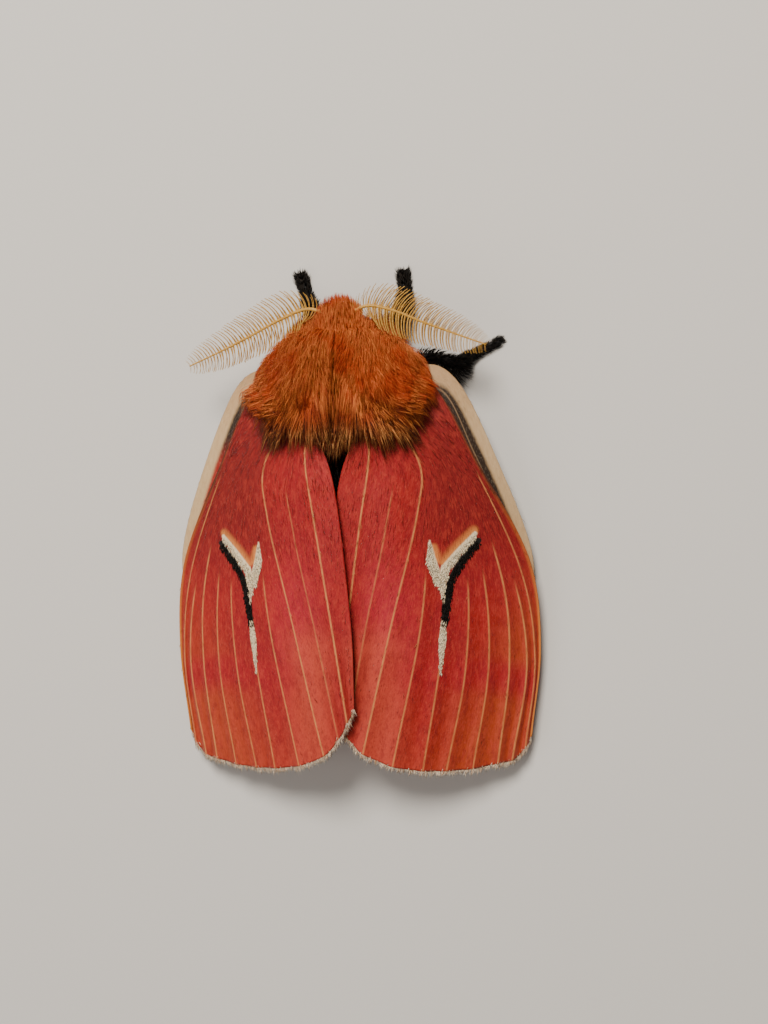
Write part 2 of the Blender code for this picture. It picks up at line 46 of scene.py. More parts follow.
# Body, in millimetres: the moth faces +Y and its right side is at +X
THORAX_CENTRE = np.array([0.0, 11.8, 6.2])
THORAX_SIZE = np.array([5.4, 7.0, 4.2])
HEAD_CENTRE = np.array([0.0, 18.6, 7.2])
HEAD_SIZE = np.array([2.2, 2.3, 2.3])
EYE_CENTRE = np.array([1.93, 18.9, 7.0])
EYE_RADIUS = 1.25
ABDOMEN_START, ABDOMEN_TIP = 6.3, -12.6
ABDOMEN_HALF_WIDTH = 4.1
ABDOMEN_FLATTENING = 0.8
# The size of the skin's facets, and how far skin, hair and claws stay above the floor
SKIN_GRAIN = 0.15
FLOOR_GAP = 0.12
# The coat's outline: its half width and height at places along Y, round the middle height below
COAT_OUTLINE = np.array([
    (4.6, 7.4, 11.9), (6.0, 8.2, 12.3), (7.5, 8.7, 12.8), (9.0, 9.0, 13.2), (11.0, 9.2, 13.45),
    (13.0, 8.9, 13.4), (15.0, 8.4, 12.9), (17.0, 7.5, 11.9), (19.0, 5.9, 10.7), (20.5, 4.5, 9.9),
])
COAT_MIDDLE = 6.4

# The roof that the forewings make, and the wings' thickness
RIDGE_TOP, RIDGE_TOP_Y, RIDGE_ROUNDING = 11.3, 4.5, 4.0
ROOF_SLOPE = 0.55
SHOULDER_SINK = 1.6
WING_OVERLAP_LIFT = 0.55
HINDWING_DROP = 1.15
MEMBRANE = 0.16

# Lines of the right wings in plan, from the body outwards
FOREWING_LINES = {
    "inner_margin": [(1.6, 7.4), (0.0, 2.5), (-1.2, -10.0), (-1.3, -18.2)],
    "anal_vein": [(3.1, 6.3), (2.1, -0.4), (0.7, -10.0), (-0.6, -19.6)],
    "fold": [(5.3, 5.2), (4.4, -1.5), (2.4, -10.5), (0.3, -21.2)],
    "cubitus_2": [(7.6, 5.6), (7.4, 0.2), (4.7, -10.8), (1.8, -22.9)],
    "cubitus_1": [(8.4, 5.2), (8.3, -2.4), (7.4, -11.3), (4.6, -24.2)],
    "median_3": [(9.2, 4.8), (9.7, -4.0), (9.4, -13.0), (7.4, -24.8)],
    "median_2": [(10.0, 5.3), (11.9, -5.0), (11.6, -15.0), (9.6, -25.0)],
    "median_1": [(10.7, 5.3), (13.4, -5.2), (13.8, -14.8), (12.1, -25.0)],
    "radius_5": [(11.3, 5.4), (15.1, -5.5), (15.8, -14.5), (14.5, -24.7)],
    "radius_4": [(11.9, 5.5), (16.1, -5.2), (17.5, -14.6), (15.9, -24.5)],
    "subcosta": [(8.9, 12.4), (12.5, 5.5), (17.0, -5.1), (18.3, -14.2), (17.2, -23.4)],
    "costal_margin": [(8.9, 13.1), (13.2, 5.3), (17.9, -4.2), (18.9, -13.0), (17.9, -22.0)],
}
FOREWING_ROOT_Y = (9.3, 14.2)
FOREWING_ROWS = 190
FOREWING_PLEAT = 0.34
# Where along its line each vein begins to show, and how clearly
FOREWING_VEINS = {
    "anal_vein": (0.05, 1.0), "fold": (0.22, 0.45), "cubitus_2": (0.05, 0.9),
    "cubitus_1": (0.47, 0.8), "median_3": (0.62, 0.8), "median_2": (0.50, 0.75),
    "median_1": (0.49, 0.75), "radius_5": (0.44, 0.9), "radius_4": (0.55, 0.9), "subcosta": (0.3, 0.8),
}
HINDWING_LINES = {
    "inner_margin": [(5.5, 3.0), (5.3, -4.6), (5.2, -12.0)],
    "anal_vein": [(6.6, 4.8), (7.1, -4.6), (7.0, -14.6)],
    "cubitus": [(8.0, 5.2), (9.1, -1.0), (9.8, -10.0), (9.8, -16.4)],
    "media": [(9.3, 6.4), (11.3, 0.4), (12.8, -9.0), (13.1, -16.2)],
    "radius": [(10.0, 9.6), (12.9, 2.6), (15.2, -6.4), (16.0, -14.4)],
    "subcosta": [(9.6, 12.6), (12.6, 6.6), (16.2, -2.6), (17.5, -11.4)],
    "costal_margin": [(8.3, 15.2), (11.6, 12.9), (15.5, 4.2), (18.0, -3.0), (18.3, -8.0)],
}
# The left hindwing is drawn a little further forward, so more of its costal edge shows
HINDWING_LINES_LEFT = {
    **HINDWING_LINES,
    "costal_margin": [(8.3, 15.2), (11.8, 13.1), (16.0, 4.4), (18.5, -2.8), (18.5, -8.0)],
}
HINDWING_ROOT_Y = (8.9, 12.6)
HINDWING_ROWS = 90
HINDWING_PLEAT = 0.1
HINDWING_VEINS = {
    "anal_vein": (0.1, 0.6), "cubitus": (0.1, 0.6), "media": (0.1, 0.6), "radius": (0.1, 0.6),
    "subcosta": (0.1, 0.4),
}
# A line without a vein of its own
HIDDEN_VEIN = (2.0, 0.0)

# Short hair on the wings' upper sides, in the colours below it: the lines it lies between, how far along
# the wing it runs, its number, its lengths and widths, its lean (middle and spread) and its lifts
FOREWING_NAPS = {
    "nap_fore": ((0.0, 11.0), 0.985, 8600, (0.4, 0.9), (0.05, 0.08), (0, 0.14), (0.05, 0.17)),
    "base_hair": ((0.0, 11.0), 0.42, 1100, (1.0, 2.0), (0.04, 0.07), (0, 0.1), (0.03, 0.11)),
    "inner_hair": ((0.0, 0.4), 0.985, 500, (0.5, 1.0), (0.05, 0.08), (-0.3, 0.2), (0.03, 0.13)),
}
HINDWING_NAPS = {
    "nap_hind": ((4.4, 6.0), 0.985, 3000, (0.6, 1.2), (0.04, 0.06), (0, 0.1), (0.02, 0.08)),
}
FRINGE_TUFTS = 2500
FRINGE_BUNCHES = 34.0

# Strokes of the forewing's forked mark as x, y and half width
MARK_WHITE = [
    [(12.8, -1.6, 0.2), (11.2, -3.35, 0.3), (9.95, -4.9, 0.4), (9.65, -6.6, 0.34), (9.75, -8.1, 0.03)],
    [(8.55, -2.2, 0.06), (8.65, -4.0, 0.44), (9.35, -6.3, 0.42)],
    [(9.7, -9.9, 0.18), (9.55, -11.9, 0.34), (9.3, -15.1, 0.04)],
]
MARK_BLACK = [
    [(13.1, -2.3, 0.3), (11.6, -4.1, 0.36), (10.5, -5.9, 0.34), (10.0, -8.2, 0.42), (9.75, -10.4, 0.3)],
]
MARK_RIM = [[(12.6, -1.2, 0.4), (9.8, -3.9, 0.6), (9.3, -3.9, 0.4), (9.0, -2.8, 0.2)]]

# The thorax's coat from the neck back: where its tufts leave and bend along Y, how far they run on
# from the bend, and how far round from the top their roots and bends spread in degrees
FUR_ROWS = np.array([
    (18.3, 19.5, 2.8, 52, 66),
    (17.4, 18.1, 3.4, 66, 82),
    (16.3, 16.7, 3.8, 68, 84),
    (15.0, 15.0, 4.2, 58, 76),
    (13.9, 13.8, 4.3, 50, 68),
    (12.8, 12.6, 4.2, 44, 62),
    (11.7, 11.4, 3.9, 40, 58),
    (10.6, 10.2, 3.2, 36, 54),
])
# How far back the coat reaches at places along X, and the middle of each of its two lobes
FUR_RIM = np.array([
    (0.0, 6.6), (1.2, 6.7), (2.0, 6.8), (6.4, 6.9), (7.2, 7.7), (8.0, 9.2), (8.7, 10.7), (9.5, 12.2),
])
LOBE_MIDDLE = 2.9
LAST_FUR_ROW = len(FUR_ROWS) - 1
# The coat is a little fuller on the left
FLUFF = {-1: 1.03, 1: 1.0}
# How deep the roots of the fur lie in the thorax
ROOT_DEPTH = 0.25
# The coat's layers on each side: number, lowest and highest reach, width and how far short of the rim
FUR_LAYERS = {
    "under": (5000, 0.6, 0.84, 0.19, 0.9),
    "middle": (8600, 0.76, 0.95, 0.08, 0.75),
    "outer": (11200, 0.9, 1.03, 0.062, 0.65),
}
LOCKS, LOCK_TUFTS = 290, 11
# Where the hair on the head points
HEAD_PEAK = np.array([0.4, 21.6, 9.6])

# Shapes of tufts: the share along its length of each of its rings, and the ring's share of its width
FULL_TUFT = ((0.0, 0.7), (0.4, 1.0), (0.75, 0.62))
FINE_TUFT = ((0.0, 0.8), (0.5, 1.0), (0.8, 0.6))
SHORT_TUFT = ((0.0, 0.9), (0.5, 1.0))
STRAY_HAIR = ((0.0, 0.8), (0.4, 1.0), (0.75, 0.7))
WING_TUFT = ((0.0, 0.3), (0.5, 1.0))
LEG_TUFT = ((0.0, 0.9), (0.55, 0.9))
CLAW = ((0.0, 1.0), (0.25, 0.95), (0.5, 0.8), (0.75, 0.5))
# The unwrap leaves this margin, and each tuft is a patch of this size on it
MAP_MARGIN = 0.02
TUFT_PATCH = 0.003

# Each leg's root in plan, then its knee, the end of its tibia, and the two ends of its foot
LEGS = {
    "foreleg_left": (
        (-1.9, 14.6), [(-3.5, 18.4, 3.2), (-4.3, 21.6, 1.7), (-5.0, 23.4, 0.45), (-5.7, 25.7, 0.32)]),
    "foreleg_right": (
        (1.9, 14.6), [(3.9, 18.4, 3.2), (5.3, 21.6, 1.7), (5.4, 23.4, 0.45), (5.2, 25.5, 0.32)]),
    "midleg_left": (
        (-3.3, 12.2), [(-7.2, 13.0, 3.2), (-9.6, 11.2, 1.6), (-10.4, 9.9, 0.45), (-11.4, 7.4, 0.32)]),
    "midleg_right": (
        (3.3, 12.4), [(7.4, 16.0, 3.1), (10.8, 15.7, 1.7), (12.2, 16.6, 0.45), (15.4, 18.2, 0.32)]),
    "hindleg_left": (
        (-3.0, 9.2), [(-6.3, 6.6, 3.4), (-8.0, 2.0, 1.7), (-8.5, 0.4, 0.45), (-9.3, -2.8, 0.32)]),
    "hindleg_right": (
        (3.0, 9.2), [(6.3, 6.6, 3.4), (8.0, 2.0, 1.7), (8.5, 0.4, 0.45), (9.3, -2.8, 0.32)]),
}
# A leg's radius and the length of its hair at its inner end, its root and its four joints
LEG_RADII = [0.6, 0.65, 0.6, 0.5, 0.4, 0.34]
LEG_HAIR = [0.9, 1.1, 1.05, 0.9, 0.6, 0.5]
FORELEG_HAIR = [1.0, 1.2, 1.3, 1.2, 0.75, 1.0]
LEG_STEPS = 200

ANTENNAE = {
    "antenna_left": [
        (-3.2, 20.6, 9.1), (-6.0, 19.7, 8.7), (-9.0, 18.4, 8.1), (-12.4, 17.0, 7.5), (-15.8, 15.7, 7.0),
    ],
    "antenna_right": [
        (3.1, 20.7, 9.1), (5.6, 20.1, 8.8), (7.8, 19.2, 8.2), (11.0, 18.0, 7.5), (14.2, 16.8, 7.0),
    ],
}
ANTENNA_ROOT = np.array([0.5, 0.55, 0.67])
ANTENNA_STEPS = 120
RAMUS_LENGTH = 2.5
RAMI = 46
# The lift of each pair of branches at a joint, and how far along the joint the pair stands
RAMUS_PAIRS = ((0.2, 0.0), (-0.3, 0.35))
COMB_INPUTS = {"Thickness": 0.03, "Bow": 0.42, "Droop": 0.06}

# Floor and lights, in metres: each lamp's place, size, power and colour
FLOOR_REACH = 0.6
LIGHTS = {
    "key": ((-0.03, 0.2, 0.34), 0.14, 2.15, (1.0, 0.96, 0.9)),
    "fill": ((-0.22, -0.12, 0.28), 0.3, 0.4, (1.0, 0.98, 0.96)),
}
LIGHT_TARGET = (0, 0, 0.005)
WORLD_STRENGTH = 0.17

# The photograph's view: the camera's place and lens in millimetres, and its turns in degrees
CAMERA_PLACE = (22.84, 0.646, 123.87)
CAMERA_LENS = 42.19
CAMERA_ROLL, CAMERA_TWIST = 9.2, -0.84


# Curves, directions and meshes

def smoothstep(low, high, value):
    share = np.clip((value - low) / (high - low), 0.0, 1.0)
    return share * share * (3.0 - 2.0 * share)


def unit(vectors):
    return vectors / np.maximum(np.linalg.norm(vectors, axis=-1, keepdims=True), 1e-9)


def between(before, start, end, after, t):
    """The Catmull-Rom curve from start to end at t, between the points before and after them."""
    return 0.5 * (2 * start + (end - before) * t + (2 * before - 5 * start + 4 * end - after) * t**2
                  + (3 * start - before - 3 * end + after) * t**3)


def spline(points, places):
    """A curve through the points, where places run from 0 to their number less one."""
    points = np.asarray(points, float)
    places = np.asarray(places, float)
    last = len(points) - 1
    first = np.clip(places.astype(int), 0, last - 1)
    t = (places - first)[..., None]
    start, end = points[first], points[first + 1]
    before = np.where((first > 0)[..., None], points[np.maximum(first - 1, 0)], 2 * start - end)
    after = np.where((first < last - 1)[..., None], points[np.minimum(first + 2, last)], 2 * end - start)
    return between(before, start, end, after, t)


def even_points(points, count):
    """Points at equal steps along the curve through the points."""
    fine = spline(points, np.linspace(0, len(points) - 1, 40 * len(points)))
    run = np.concatenate([[0.0], np.cumsum(np.linalg.norm(np.diff(fine, axis=0), axis=1))])
    wanted = np.linspace(0, run[-1], count)
    return np.stack([np.interp(wanted, run, fine[:, i]) for i in range(fine.shape[1])], axis=1)


def on_ellipsoid(centre, size, away):
    """Where the directions from the centre meet the ellipsoid, and its outward directions there."""
    scale = 1.0 / np.linalg.norm(away / size, axis=-1, keepdims=True)
    offset = away * scale
    return centre + offset, unit(offset / size**2)


def new_object(name, points, faces, *materials):
    """A mesh object from points in millimetres."""
    mesh = bpy.data.meshes.new(name)
    mesh.from_pydata((np.asarray(points, float) * MM).tolist(), [], faces)
    mesh.validate()
    mesh.shade_smooth()
    for material in materials:
        mesh.materials.append(material)
    obj = bpy.data.objects.new(name, mesh)
    bpy.context.scene.collection.objects.link(obj)
    return obj


def set_values(obj, **values):
    """Numbers for each point of a mesh, under their names."""
    for name, numbers in values.items():
        layer = obj.data.attributes.new(name, "FLOAT", "POINT")
        layer.data.foreach_set("value", np.asarray(numbers, np.float32).ravel())


def set_map(obj, name, places):
    """A UV map that gives each corner the place of its point."""
    corners = np.empty(len(obj.data.loops), int)
    obj.data.loops.foreach_get("vertex_index", corners)
    layer = obj.data.uv_layers.new(name=name)
    layer.data.foreach_set("uv", np.asarray(places, np.float32)[corners].ravel())


def tube_faces(rings, sides, start=0):
    """Faces of a closed tube of rings whose points run on from start, with flat ends."""
    faces = []
    for i in range(rings - 1):
        for k in range(sides):
            a, b = start + i * sides + k, start + i * sides + (k + 1) % sides
            faces.append((a, b, b + sides, a + sides))
    faces.append(tuple(start + k for k in reversed(range(sides))))
    faces.append(tuple(start + (rings - 1) * sides + k for k in range(sides)))
    return faces


def map_share(share):
    """A share of the way across the unwrap, kept within its margin."""
    return MAP_MARGIN + (1.0 - 2.0 * MAP_MARGIN) * share


def map_places(across, along):
    """Places on the coat's unwrap from shares across and along it."""
    return np.stack([map_share(across), map_share(along)], axis=1)


def tube_points(course, radii, sides, squash=1.0):
    """Rings round a course of points."""
    along = unit(np.gradient(course, axis=0))
    flat = np.cross(along, (0.0, 0.0, 1.0))
    across = unit(np.where(np.linalg.norm(flat, axis=1, keepdims=True) > 0.05, flat, (1.0, 0.0, 0.0)))
    lift = np.cross(along, across)
    turns = np.arange(sides) * math.tau / sides
    spread = (np.cos(turns)[None, :, None] * across[:, None]
              + squash * np.sin(turns)[None, :, None] * lift[:, None])
    return (course[:, None] + spread * np.asarray(radii)[:, None, None]).reshape(-1, 3)


def add_tufts(name, roots, bends, tips, widths, facing, places, material, slot, shape=FULL_TUFT,
              sides=3, flat=0.6, lay=None, **values):
    """One mesh of curved, pointed tufts. Each leaves its root towards its bend and ends at its tip.

    Facing holds the outward directions, places the roots on the unwrap, and lay their places on a wing.
    """
    count, rings = len(roots), len(shape)
    shares = np.array([share for share, _ in shape])[None, :, None]
    sizes = np.array([size for _, size in shape])
    roots, bends, tips = (np.asarray(p)[:, None] for p in (roots, bends, tips))
    centre = roots * (1 - shares) ** 2 + bends * 2 * shares * (1 - shares) + tips * shares**2
    along = unit((bends - roots) * (1 - shares) + (tips - bends) * shares)
    across = unit(np.cross(along, np.asarray(facing)[:, None]))
    lift = np.cross(along, across)
    turns = np.arange(sides) * math.tau / sides
    half = (np.asarray(widths)[:, None] * sizes / 2)[:, :, None, None]
    spread = (np.cos(turns)[None, None, :, None] * across[:, :, None]
              + flat * np.sin(turns)[None, None, :, None] * lift[:, :, None])
    body = (centre[:, :, None] + half * spread).reshape(count, rings * sides, 3)
    points = np.concatenate([body, tips], axis=1)
    each = rings * sides + 1
    pattern = []
    for i in range(rings - 1):
        for k in range(sides):
            a, b = i * sides + k, i * sides + (k + 1) % sides
            pattern.append((a, b, b + sides, a + sides))
    ends = [tuple(reversed(range(sides)))]
    for k in range(sides):
        ends.append(((rings - 1) * sides + k, (rings - 1) * sides + (k + 1) % sides, each - 1))
    starts = np.arange(count) * each
    faces = []
    for face in pattern + ends:
        faces += (starts[:, None] + np.array(face)).tolist()
    obj = new_object(name, points.reshape(-1, 3), faces, material)
    reach = np.append(np.repeat(shares[0, :, 0], sides), 1.0)
    round_it = np.append(np.tile(np.arange(sides) / sides, rings), 0.5)
    patch = np.stack([reach - 0.5, round_it - 0.5], axis=1) * TUFT_PATCH
    set_map(obj, "OFBake", (np.asarray(places)[:, None] + patch[None]).reshape(-1, 2))
    if lay is not None:
        set_map(obj, "Lay", np.repeat(lay, each, axis=0))
    set_values(obj, reach=np.tile(reach, count), tone=np.repeat(draw.random(count), each))
    set_values(obj, **{key: np.repeat(numbers, each) for key, numbers in values.items()})
    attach(obj, "root")
    return obj


# Materials

def srgb(red, green, blue):
    """A colour as a screen gives it, from 0 to 255, in the linear values that shaders take."""
    shares = [part / 255 for part in (red, green, blue)]
    linear = [share / 12.92 if share <= 0.04045 else ((share + 0.055) / 1.055) ** 2.4 for share in shares]
    return (*linear, 1.0)


class Wire:
    """A socket of a material's node tree. Arithmetic on it adds Math nodes."""

    def __init__(self, finish, socket):
        self.finish = finish
        self.socket = socket

    def work(self, operation, first, second=0.0):
        return self.finish.node("ShaderNodeMath", {"operation": operation}, {0: first, 1: second})

    def __add__(self, other):
        return self.work("ADD", self, other)

    def __sub__(self, other):
        return self.work("SUBTRACT", self, other)

    def __mul__(self, other):
        return self.work("MULTIPLY", self, other)

    def __rsub__(self, other):
        return self.work("SUBTRACT", other, self)

    def __pow__(self, other):
        return self.work("POWER", self, other)

    def __abs__(self):
        return self.work("ABSOLUTE", self)

    __radd__ = __add__
    __rmul__ = __mul__

    def least(self, other):
        return self.work("MINIMUM", self, other)

    def most(self, other):
        return self.work("MAXIMUM", self, other)

    def step(self, low, high):
        """From 0 at low to 1 at high, with a soft start and end."""
        settings = {"interpolation_type": "SMOOTHSTEP"}
        return self.finish.node("ShaderNodeMapRange", settings, {0: self, 1: low, 2: high, 3: 0.0, 4: 1.0})


class Finish:
    """A material, built up from nodes."""

    def __init__(self, name, roughness, sheen=0.0, specular=0.3):
        self.material = bpy.data.materials.new(name)
        self.material.use_nodes = True
        self.tree = self.material.node_tree
        self.shader = self.tree.nodes["Principled BSDF"]
        self.shader.inputs["Roughness"].default_value = roughness
        self.shader.inputs["Sheen Weight"].default_value = sheen
        self.shader.inputs["Sheen Roughness"].default_value = 0.4
        self.shader.inputs["Specular IOR Level"].default_value = specular

    def node(self, kind, settings, values, output=0):
        """A node with its settings made first, then the values or wires of its sockets."""
        made = self.tree.nodes.new(kind)
        for key, setting in settings.items():
            setattr(made, key, setting)
        for key, value in values.items():
            if isinstance(value, Wire):
                self.tree.links.new(value.socket, made.inputs[key])
            else:
                made.inputs[key].default_value = value
        return Wire(self, made.outputs[output])

    def blend(self, share, first, second):
        """From the first colour to the second."""
        return self.node("ShaderNodeMix", {"data_type": "RGBA"}, {0: share, 6: first, 7: second}, 2)

    def value(self, name):
        return self.node("ShaderNodeAttribute", {"attribute_name": name}, {}, 2)

    def place(self):
        """Object coordinates in millimetres."""
        coordinates = self.node("ShaderNodeTexCoord", {}, {}, 3)
        return self.node("ShaderNodeVectorMath", {"operation": "SCALE"}, {0: coordinates, 3: 1000.0})

    def axes(self, vector):
        split = self.tree.nodes.new("ShaderNodeSeparateXYZ")
        self.tree.links.new(vector.socket, split.inputs[0])
        return [Wire(self, output) for output in split.outputs]

    def noise(self, vector, stretch, detail=2.0, roughness=0.5):
        """Noise whose grain is 1 over the stretch along each axis."""
        turned = self.node("ShaderNodeMapping", {}, {0: vector, 3: stretch})
        values = {"Vector": turned, "Scale": 1.0, "Detail": detail, "Roughness": roughness}
        return self.node("ShaderNodeTexNoise", {}, values)

    def bump(self, height, depth, strength=1.0):
        """Relief whose full height is a depth in millimetres."""
        values = {"Strength": strength, "Distance": depth * MM, "Height": height}
        self.tree.links.new(self.node("ShaderNodeBump", {}, values).socket, self.shader.inputs["Normal"])

    def feed(self, socket, wire):
        self.tree.links.new(wire.socket, self.shader.inputs[socket])


def stroke(x, y, lines):
    """Signed distance from the outline of tapered strokes, in millimetres."""
    nearest = None
    for line in lines:
        for (ax, ay, aw), (bx, by, bw) in zip(line, line[1:]):
            dx, dy = bx - ax, by - ay
            square = dx * dx + dy * dy
            along = ((x - ax) * (dx / square) + (y - ay) * (dy / square)).most(0.0).least(1.0)
            off_x, off_y = x - ax - along * dx, y - ay - along * dy
            distance = (off_x * off_x + off_y * off_y) ** 0.5 - along * (bw - aw) - aw
            nearest = distance if nearest is None else nearest.least(distance)
    return nearest


def forewing_zones(paint, x, y, clouds):
    """Red that deepens towards the front edge, partly the scales' own deeper red and partly painted shade on
    the roof's outer slope; pinker inside, with a painted highlight there; orange and banded outside.
    """
    colour = paint.blend(clouds.step(0.35, 0.65), srgb(162, 20, 18), srgb(152, 16, 24))
    # Deeper red towards the front edge: partly the scales' own colour, partly painted shade on the roof's
    # outer slope
    deep_red_and_painted_shade = (x - 7.0 + clouds * 4.0).step(0.0, 5.0) * y.step(-9.0, 1.0)
    colour = paint.blend(deep_red_and_painted_shade * 0.9, colour, srgb(120, 7, 7))
    pink_middle = 1.0 - (abs(x - 4.5) + clouds * 4.0).step(2.0, 6.5)
    pink = pink_middle * y.step(-20.0, -12.0) * (1.0 - y.step(-9.0, 0.0))
    colour = paint.blend(pink * 0.6, colour, srgb(186, 34, 52))
    # Painted highlight: a lighter patch near x 3 mm, behind y -9 mm, where the sheen falls
    light = (1.0 - (abs(x - 3.0) + clouds * 3.0).step(2.0, 6.0)) * (1.0 - y.step(-13.0, -9.0))
    colour = paint.blend(light * 0.5, colour, srgb(208, 84, 54))
    outer = (x * 0.62 - y * 0.42 + clouds * 5.0).step(14.0, 20.0)
    colour = paint.blend(outer * 0.95, colour, srgb(170, 58, 22))
    curve = y + (x - 9.0) * (x - 9.0) * 0.02 + clouds * 2.0
    band = curve.step(-17.0, -14.6) * (1.0 - curve.step(-13.6, -11.6))
    return paint.blend(band * 0.9 * x.step(3.0, 9.0), colour, srgb(160, 12, 24))


def scaled(paint, colour, mottle, streaks, grain):
    """The colour broken up by patches of worn scales, by their streaks and by single scales."""
    colour = paint.blend(mottle.step(0.46, 0.66) * 0.4, colour, srgb(122, 4, 14))
    colour = paint.blend(mottle.step(0.48, 0.3) * 0.24, colour, srgb(204, 70, 52))
    colour = paint.blend(streaks.step(0.46, 0.66) * 0.32, colour, srgb(200, 64, 42))
    colour = paint.blend(grain.step(0.54, 0.75) * 0.3, colour, srgb(210, 92, 68))
    colour = paint.blend(grain.step(0.46, 0.25) * 0.45, colour, srgb(104, 6, 8))
    tone = paint.value("tone")
    colour = paint.blend(tone.step(0.55, 0.9) * 0.42, colour, srgb(210, 82, 60))
    dark_hair = tone.step(0.01, 0.03) * (1.0 - tone.step(0.15, 0.45))
    colour = paint.blend(dark_hair * 0.5, colour, srgb(92, 6, 10))
    return paint.blend(0.08, colour, srgb(56, 6, 8))


def veined(paint, colour, y, streaks, ragged):
    """The colour with its pale veins, its ochre front edge, and dark brown at that edge's base: painted
    shadow with dark hair.
    """
    costa_gap = paint.value("costa_gap")
    vein = (1.0 - (paint.value("vein_gap") + ragged * 0.6).step(0.03, 0.125)) * paint.value("vein_show")
    colour = paint.blend(vein * (0.42 + 0.5 * streaks.step(0.3, 0.6)), colour, srgb(208, 134, 76))
    edge = (1.0 - (costa_gap + ragged).step(0.15, 0.6)) * (0.35 + 0.65 * y.step(0.0, -14.0))
    colour = paint.blend(edge * 0.8, colour, srgb(206, 126, 46))
    # Painted shadow under the front edge near the base, with dark hair there: dark brown close to the edge
    # from y -2 forward
    shade = (1.0 - (costa_gap + ragged).step(0.1, 0.5)) * y.step(-2.0, 4.0)
    return paint.blend(shade * 0.85, colour, srgb(46, 20, 12))


def fork_marked(paint, colour, x, y, grain, ragged):
    """The colour with the forked mark: cream arms and tail, an orange rim inside the fork, a black stem."""
    white_gap = stroke(x, y, MARK_WHITE) + ragged
    inside = 1.0 - (stroke(x, y, MARK_RIM) + ragged).step(-0.1, 0.3)
    rim = inside * (1.0 - white_gap.step(0.0, 0.95))
    white = 1.0 - white_gap.step(-0.08, 0.1)
    black = 1.0 - (stroke(x, y, MARK_BLACK) + ragged).step(-0.08, 0.06)
    colour = paint.blend(rim * 0.8, colour, srgb(222, 136, 66))
    colour = paint.blend(white, colour, paint.blend(grain, srgb(214, 186, 142), srgb(244, 228, 194)))
    return paint.blend(black, colour, srgb(20, 14, 10))


def forewing_finish(name, underside):
    """Red scales with pale veins, and on the upper side the forked white and black mark."""
    paint = Finish(name, 0.66, sheen=0.08)
    place = paint.place()
    x, y, _ = paint.axes(place)
    x = abs(x)
    lay = paint.node("ShaderNodeUVMap", {"uv_map": "Lay"}, {})
    streaks = paint.noise(lay, (95.0, 30.0, 1.0), 3.0, 0.6)
    grain = paint.noise(lay, (230.0, 110.0, 1.0), 2.0, 0.6)
    clouds = paint.noise(place, (0.16, 0.12, 0.16), 2.0)
    mottle = paint.noise(place, (1.5, 0.7, 1.5), 4.0, 0.7)
    ragged = streaks * 0.16 + grain * 0.1 - 0.12
    colour = forewing_zones(paint, x, y, clouds)
    colour = scaled(paint, colour, mottle, streaks, grain)
    colour = veined(paint, colour, y, streaks, ragged)
    if underside:
        colour = paint.blend(0.45, colour, srgb(180, 84, 56))
    else:
        colour = fork_marked(paint, colour, x, y, grain, ragged)
    paint.feed("Base Color", colour)
    paint.bump(streaks * 0.5 + grain * 0.3 + mottle * 0.2, 0.12, 0.8)
    return paint.material


def hindwing_finish(name):
    """Cream scales along the front edge, which shows, and red behind it, turned dark brown towards the base
    by painted shadow of the forewing's edge and dark hair.
    """
    paint = Finish(name, 0.66, sheen=0.08)
    place = paint.place()
    x, y, _ = paint.axes(place)
    lay = paint.node("ShaderNodeUVMap", {"uv_map": "Lay"}, {})
    streaks = paint.noise(lay, (40.0, 36.0, 1.0), 3.0, 0.6)
    grain = paint.noise(lay, (110.0, 110.0, 1.0), 2.0, 0.6)
    clouds = paint.noise(place, (0.2, 0.16, 0.2), 2.0)
    cream = paint.blend(streaks, srgb(178, 138, 94), srgb(222, 190, 144))
    cream = paint.blend(y.step(8.0, 14.5) * 0.4 + clouds * 0.2, cream, srgb(168, 122, 78))
    red = paint.blend(streaks.step(0.4, 0.8) * 0.5, srgb(178, 26, 18), srgb(206, 76, 44))
    # Painted shadow of the forewing's edge, with dark hair at the base: dark brown on the red part from y -3
    # forward, full on the right wing and at the roots, weaker on the left
    painted_shadow_and_dark_hair = y.step(-9.0, -3.0) * (0.35 + 0.65 * x.step(-1.0, 1.0).most(y.step(5.0, 9.0)))
    red = paint.blend(painted_shadow_and_dark_hair, red, srgb(44, 28, 16))
    behind = (paint.value("costa_gap") + streaks * 0.6 + y.step(2.0, -8.0) * 0.5).step(2.0, 2.9)
    colour = paint.blend(behind, cream, red)
    vein = (1.0 - paint.value("vein_gap").step(0.06, 0.17)) * paint.value("vein_show")
    colour = paint.blend(vein * 0.6, colour, srgb(226, 178, 128))
    colour = paint.blend(grain.step(0.5, 0.85) * 0.25, colour, srgb(232, 208, 172))
    paint.feed("Base Color", colour)
    paint.bump(streaks * 0.6 + grain * 0.4, 0.08, 0.6)
    return paint.material


def orange_share(paint):
    """How orange the body is: the thorax and head above, not the abdomen and legs. With it, X and Y."""
    x, y, z = paint.axes(paint.place())
    above = (z - 4.2 + y.step(12.0, 18.0) * 0.8).step(0.0, 1.6)
    return above * y.step(4.6, 6.2), x, y


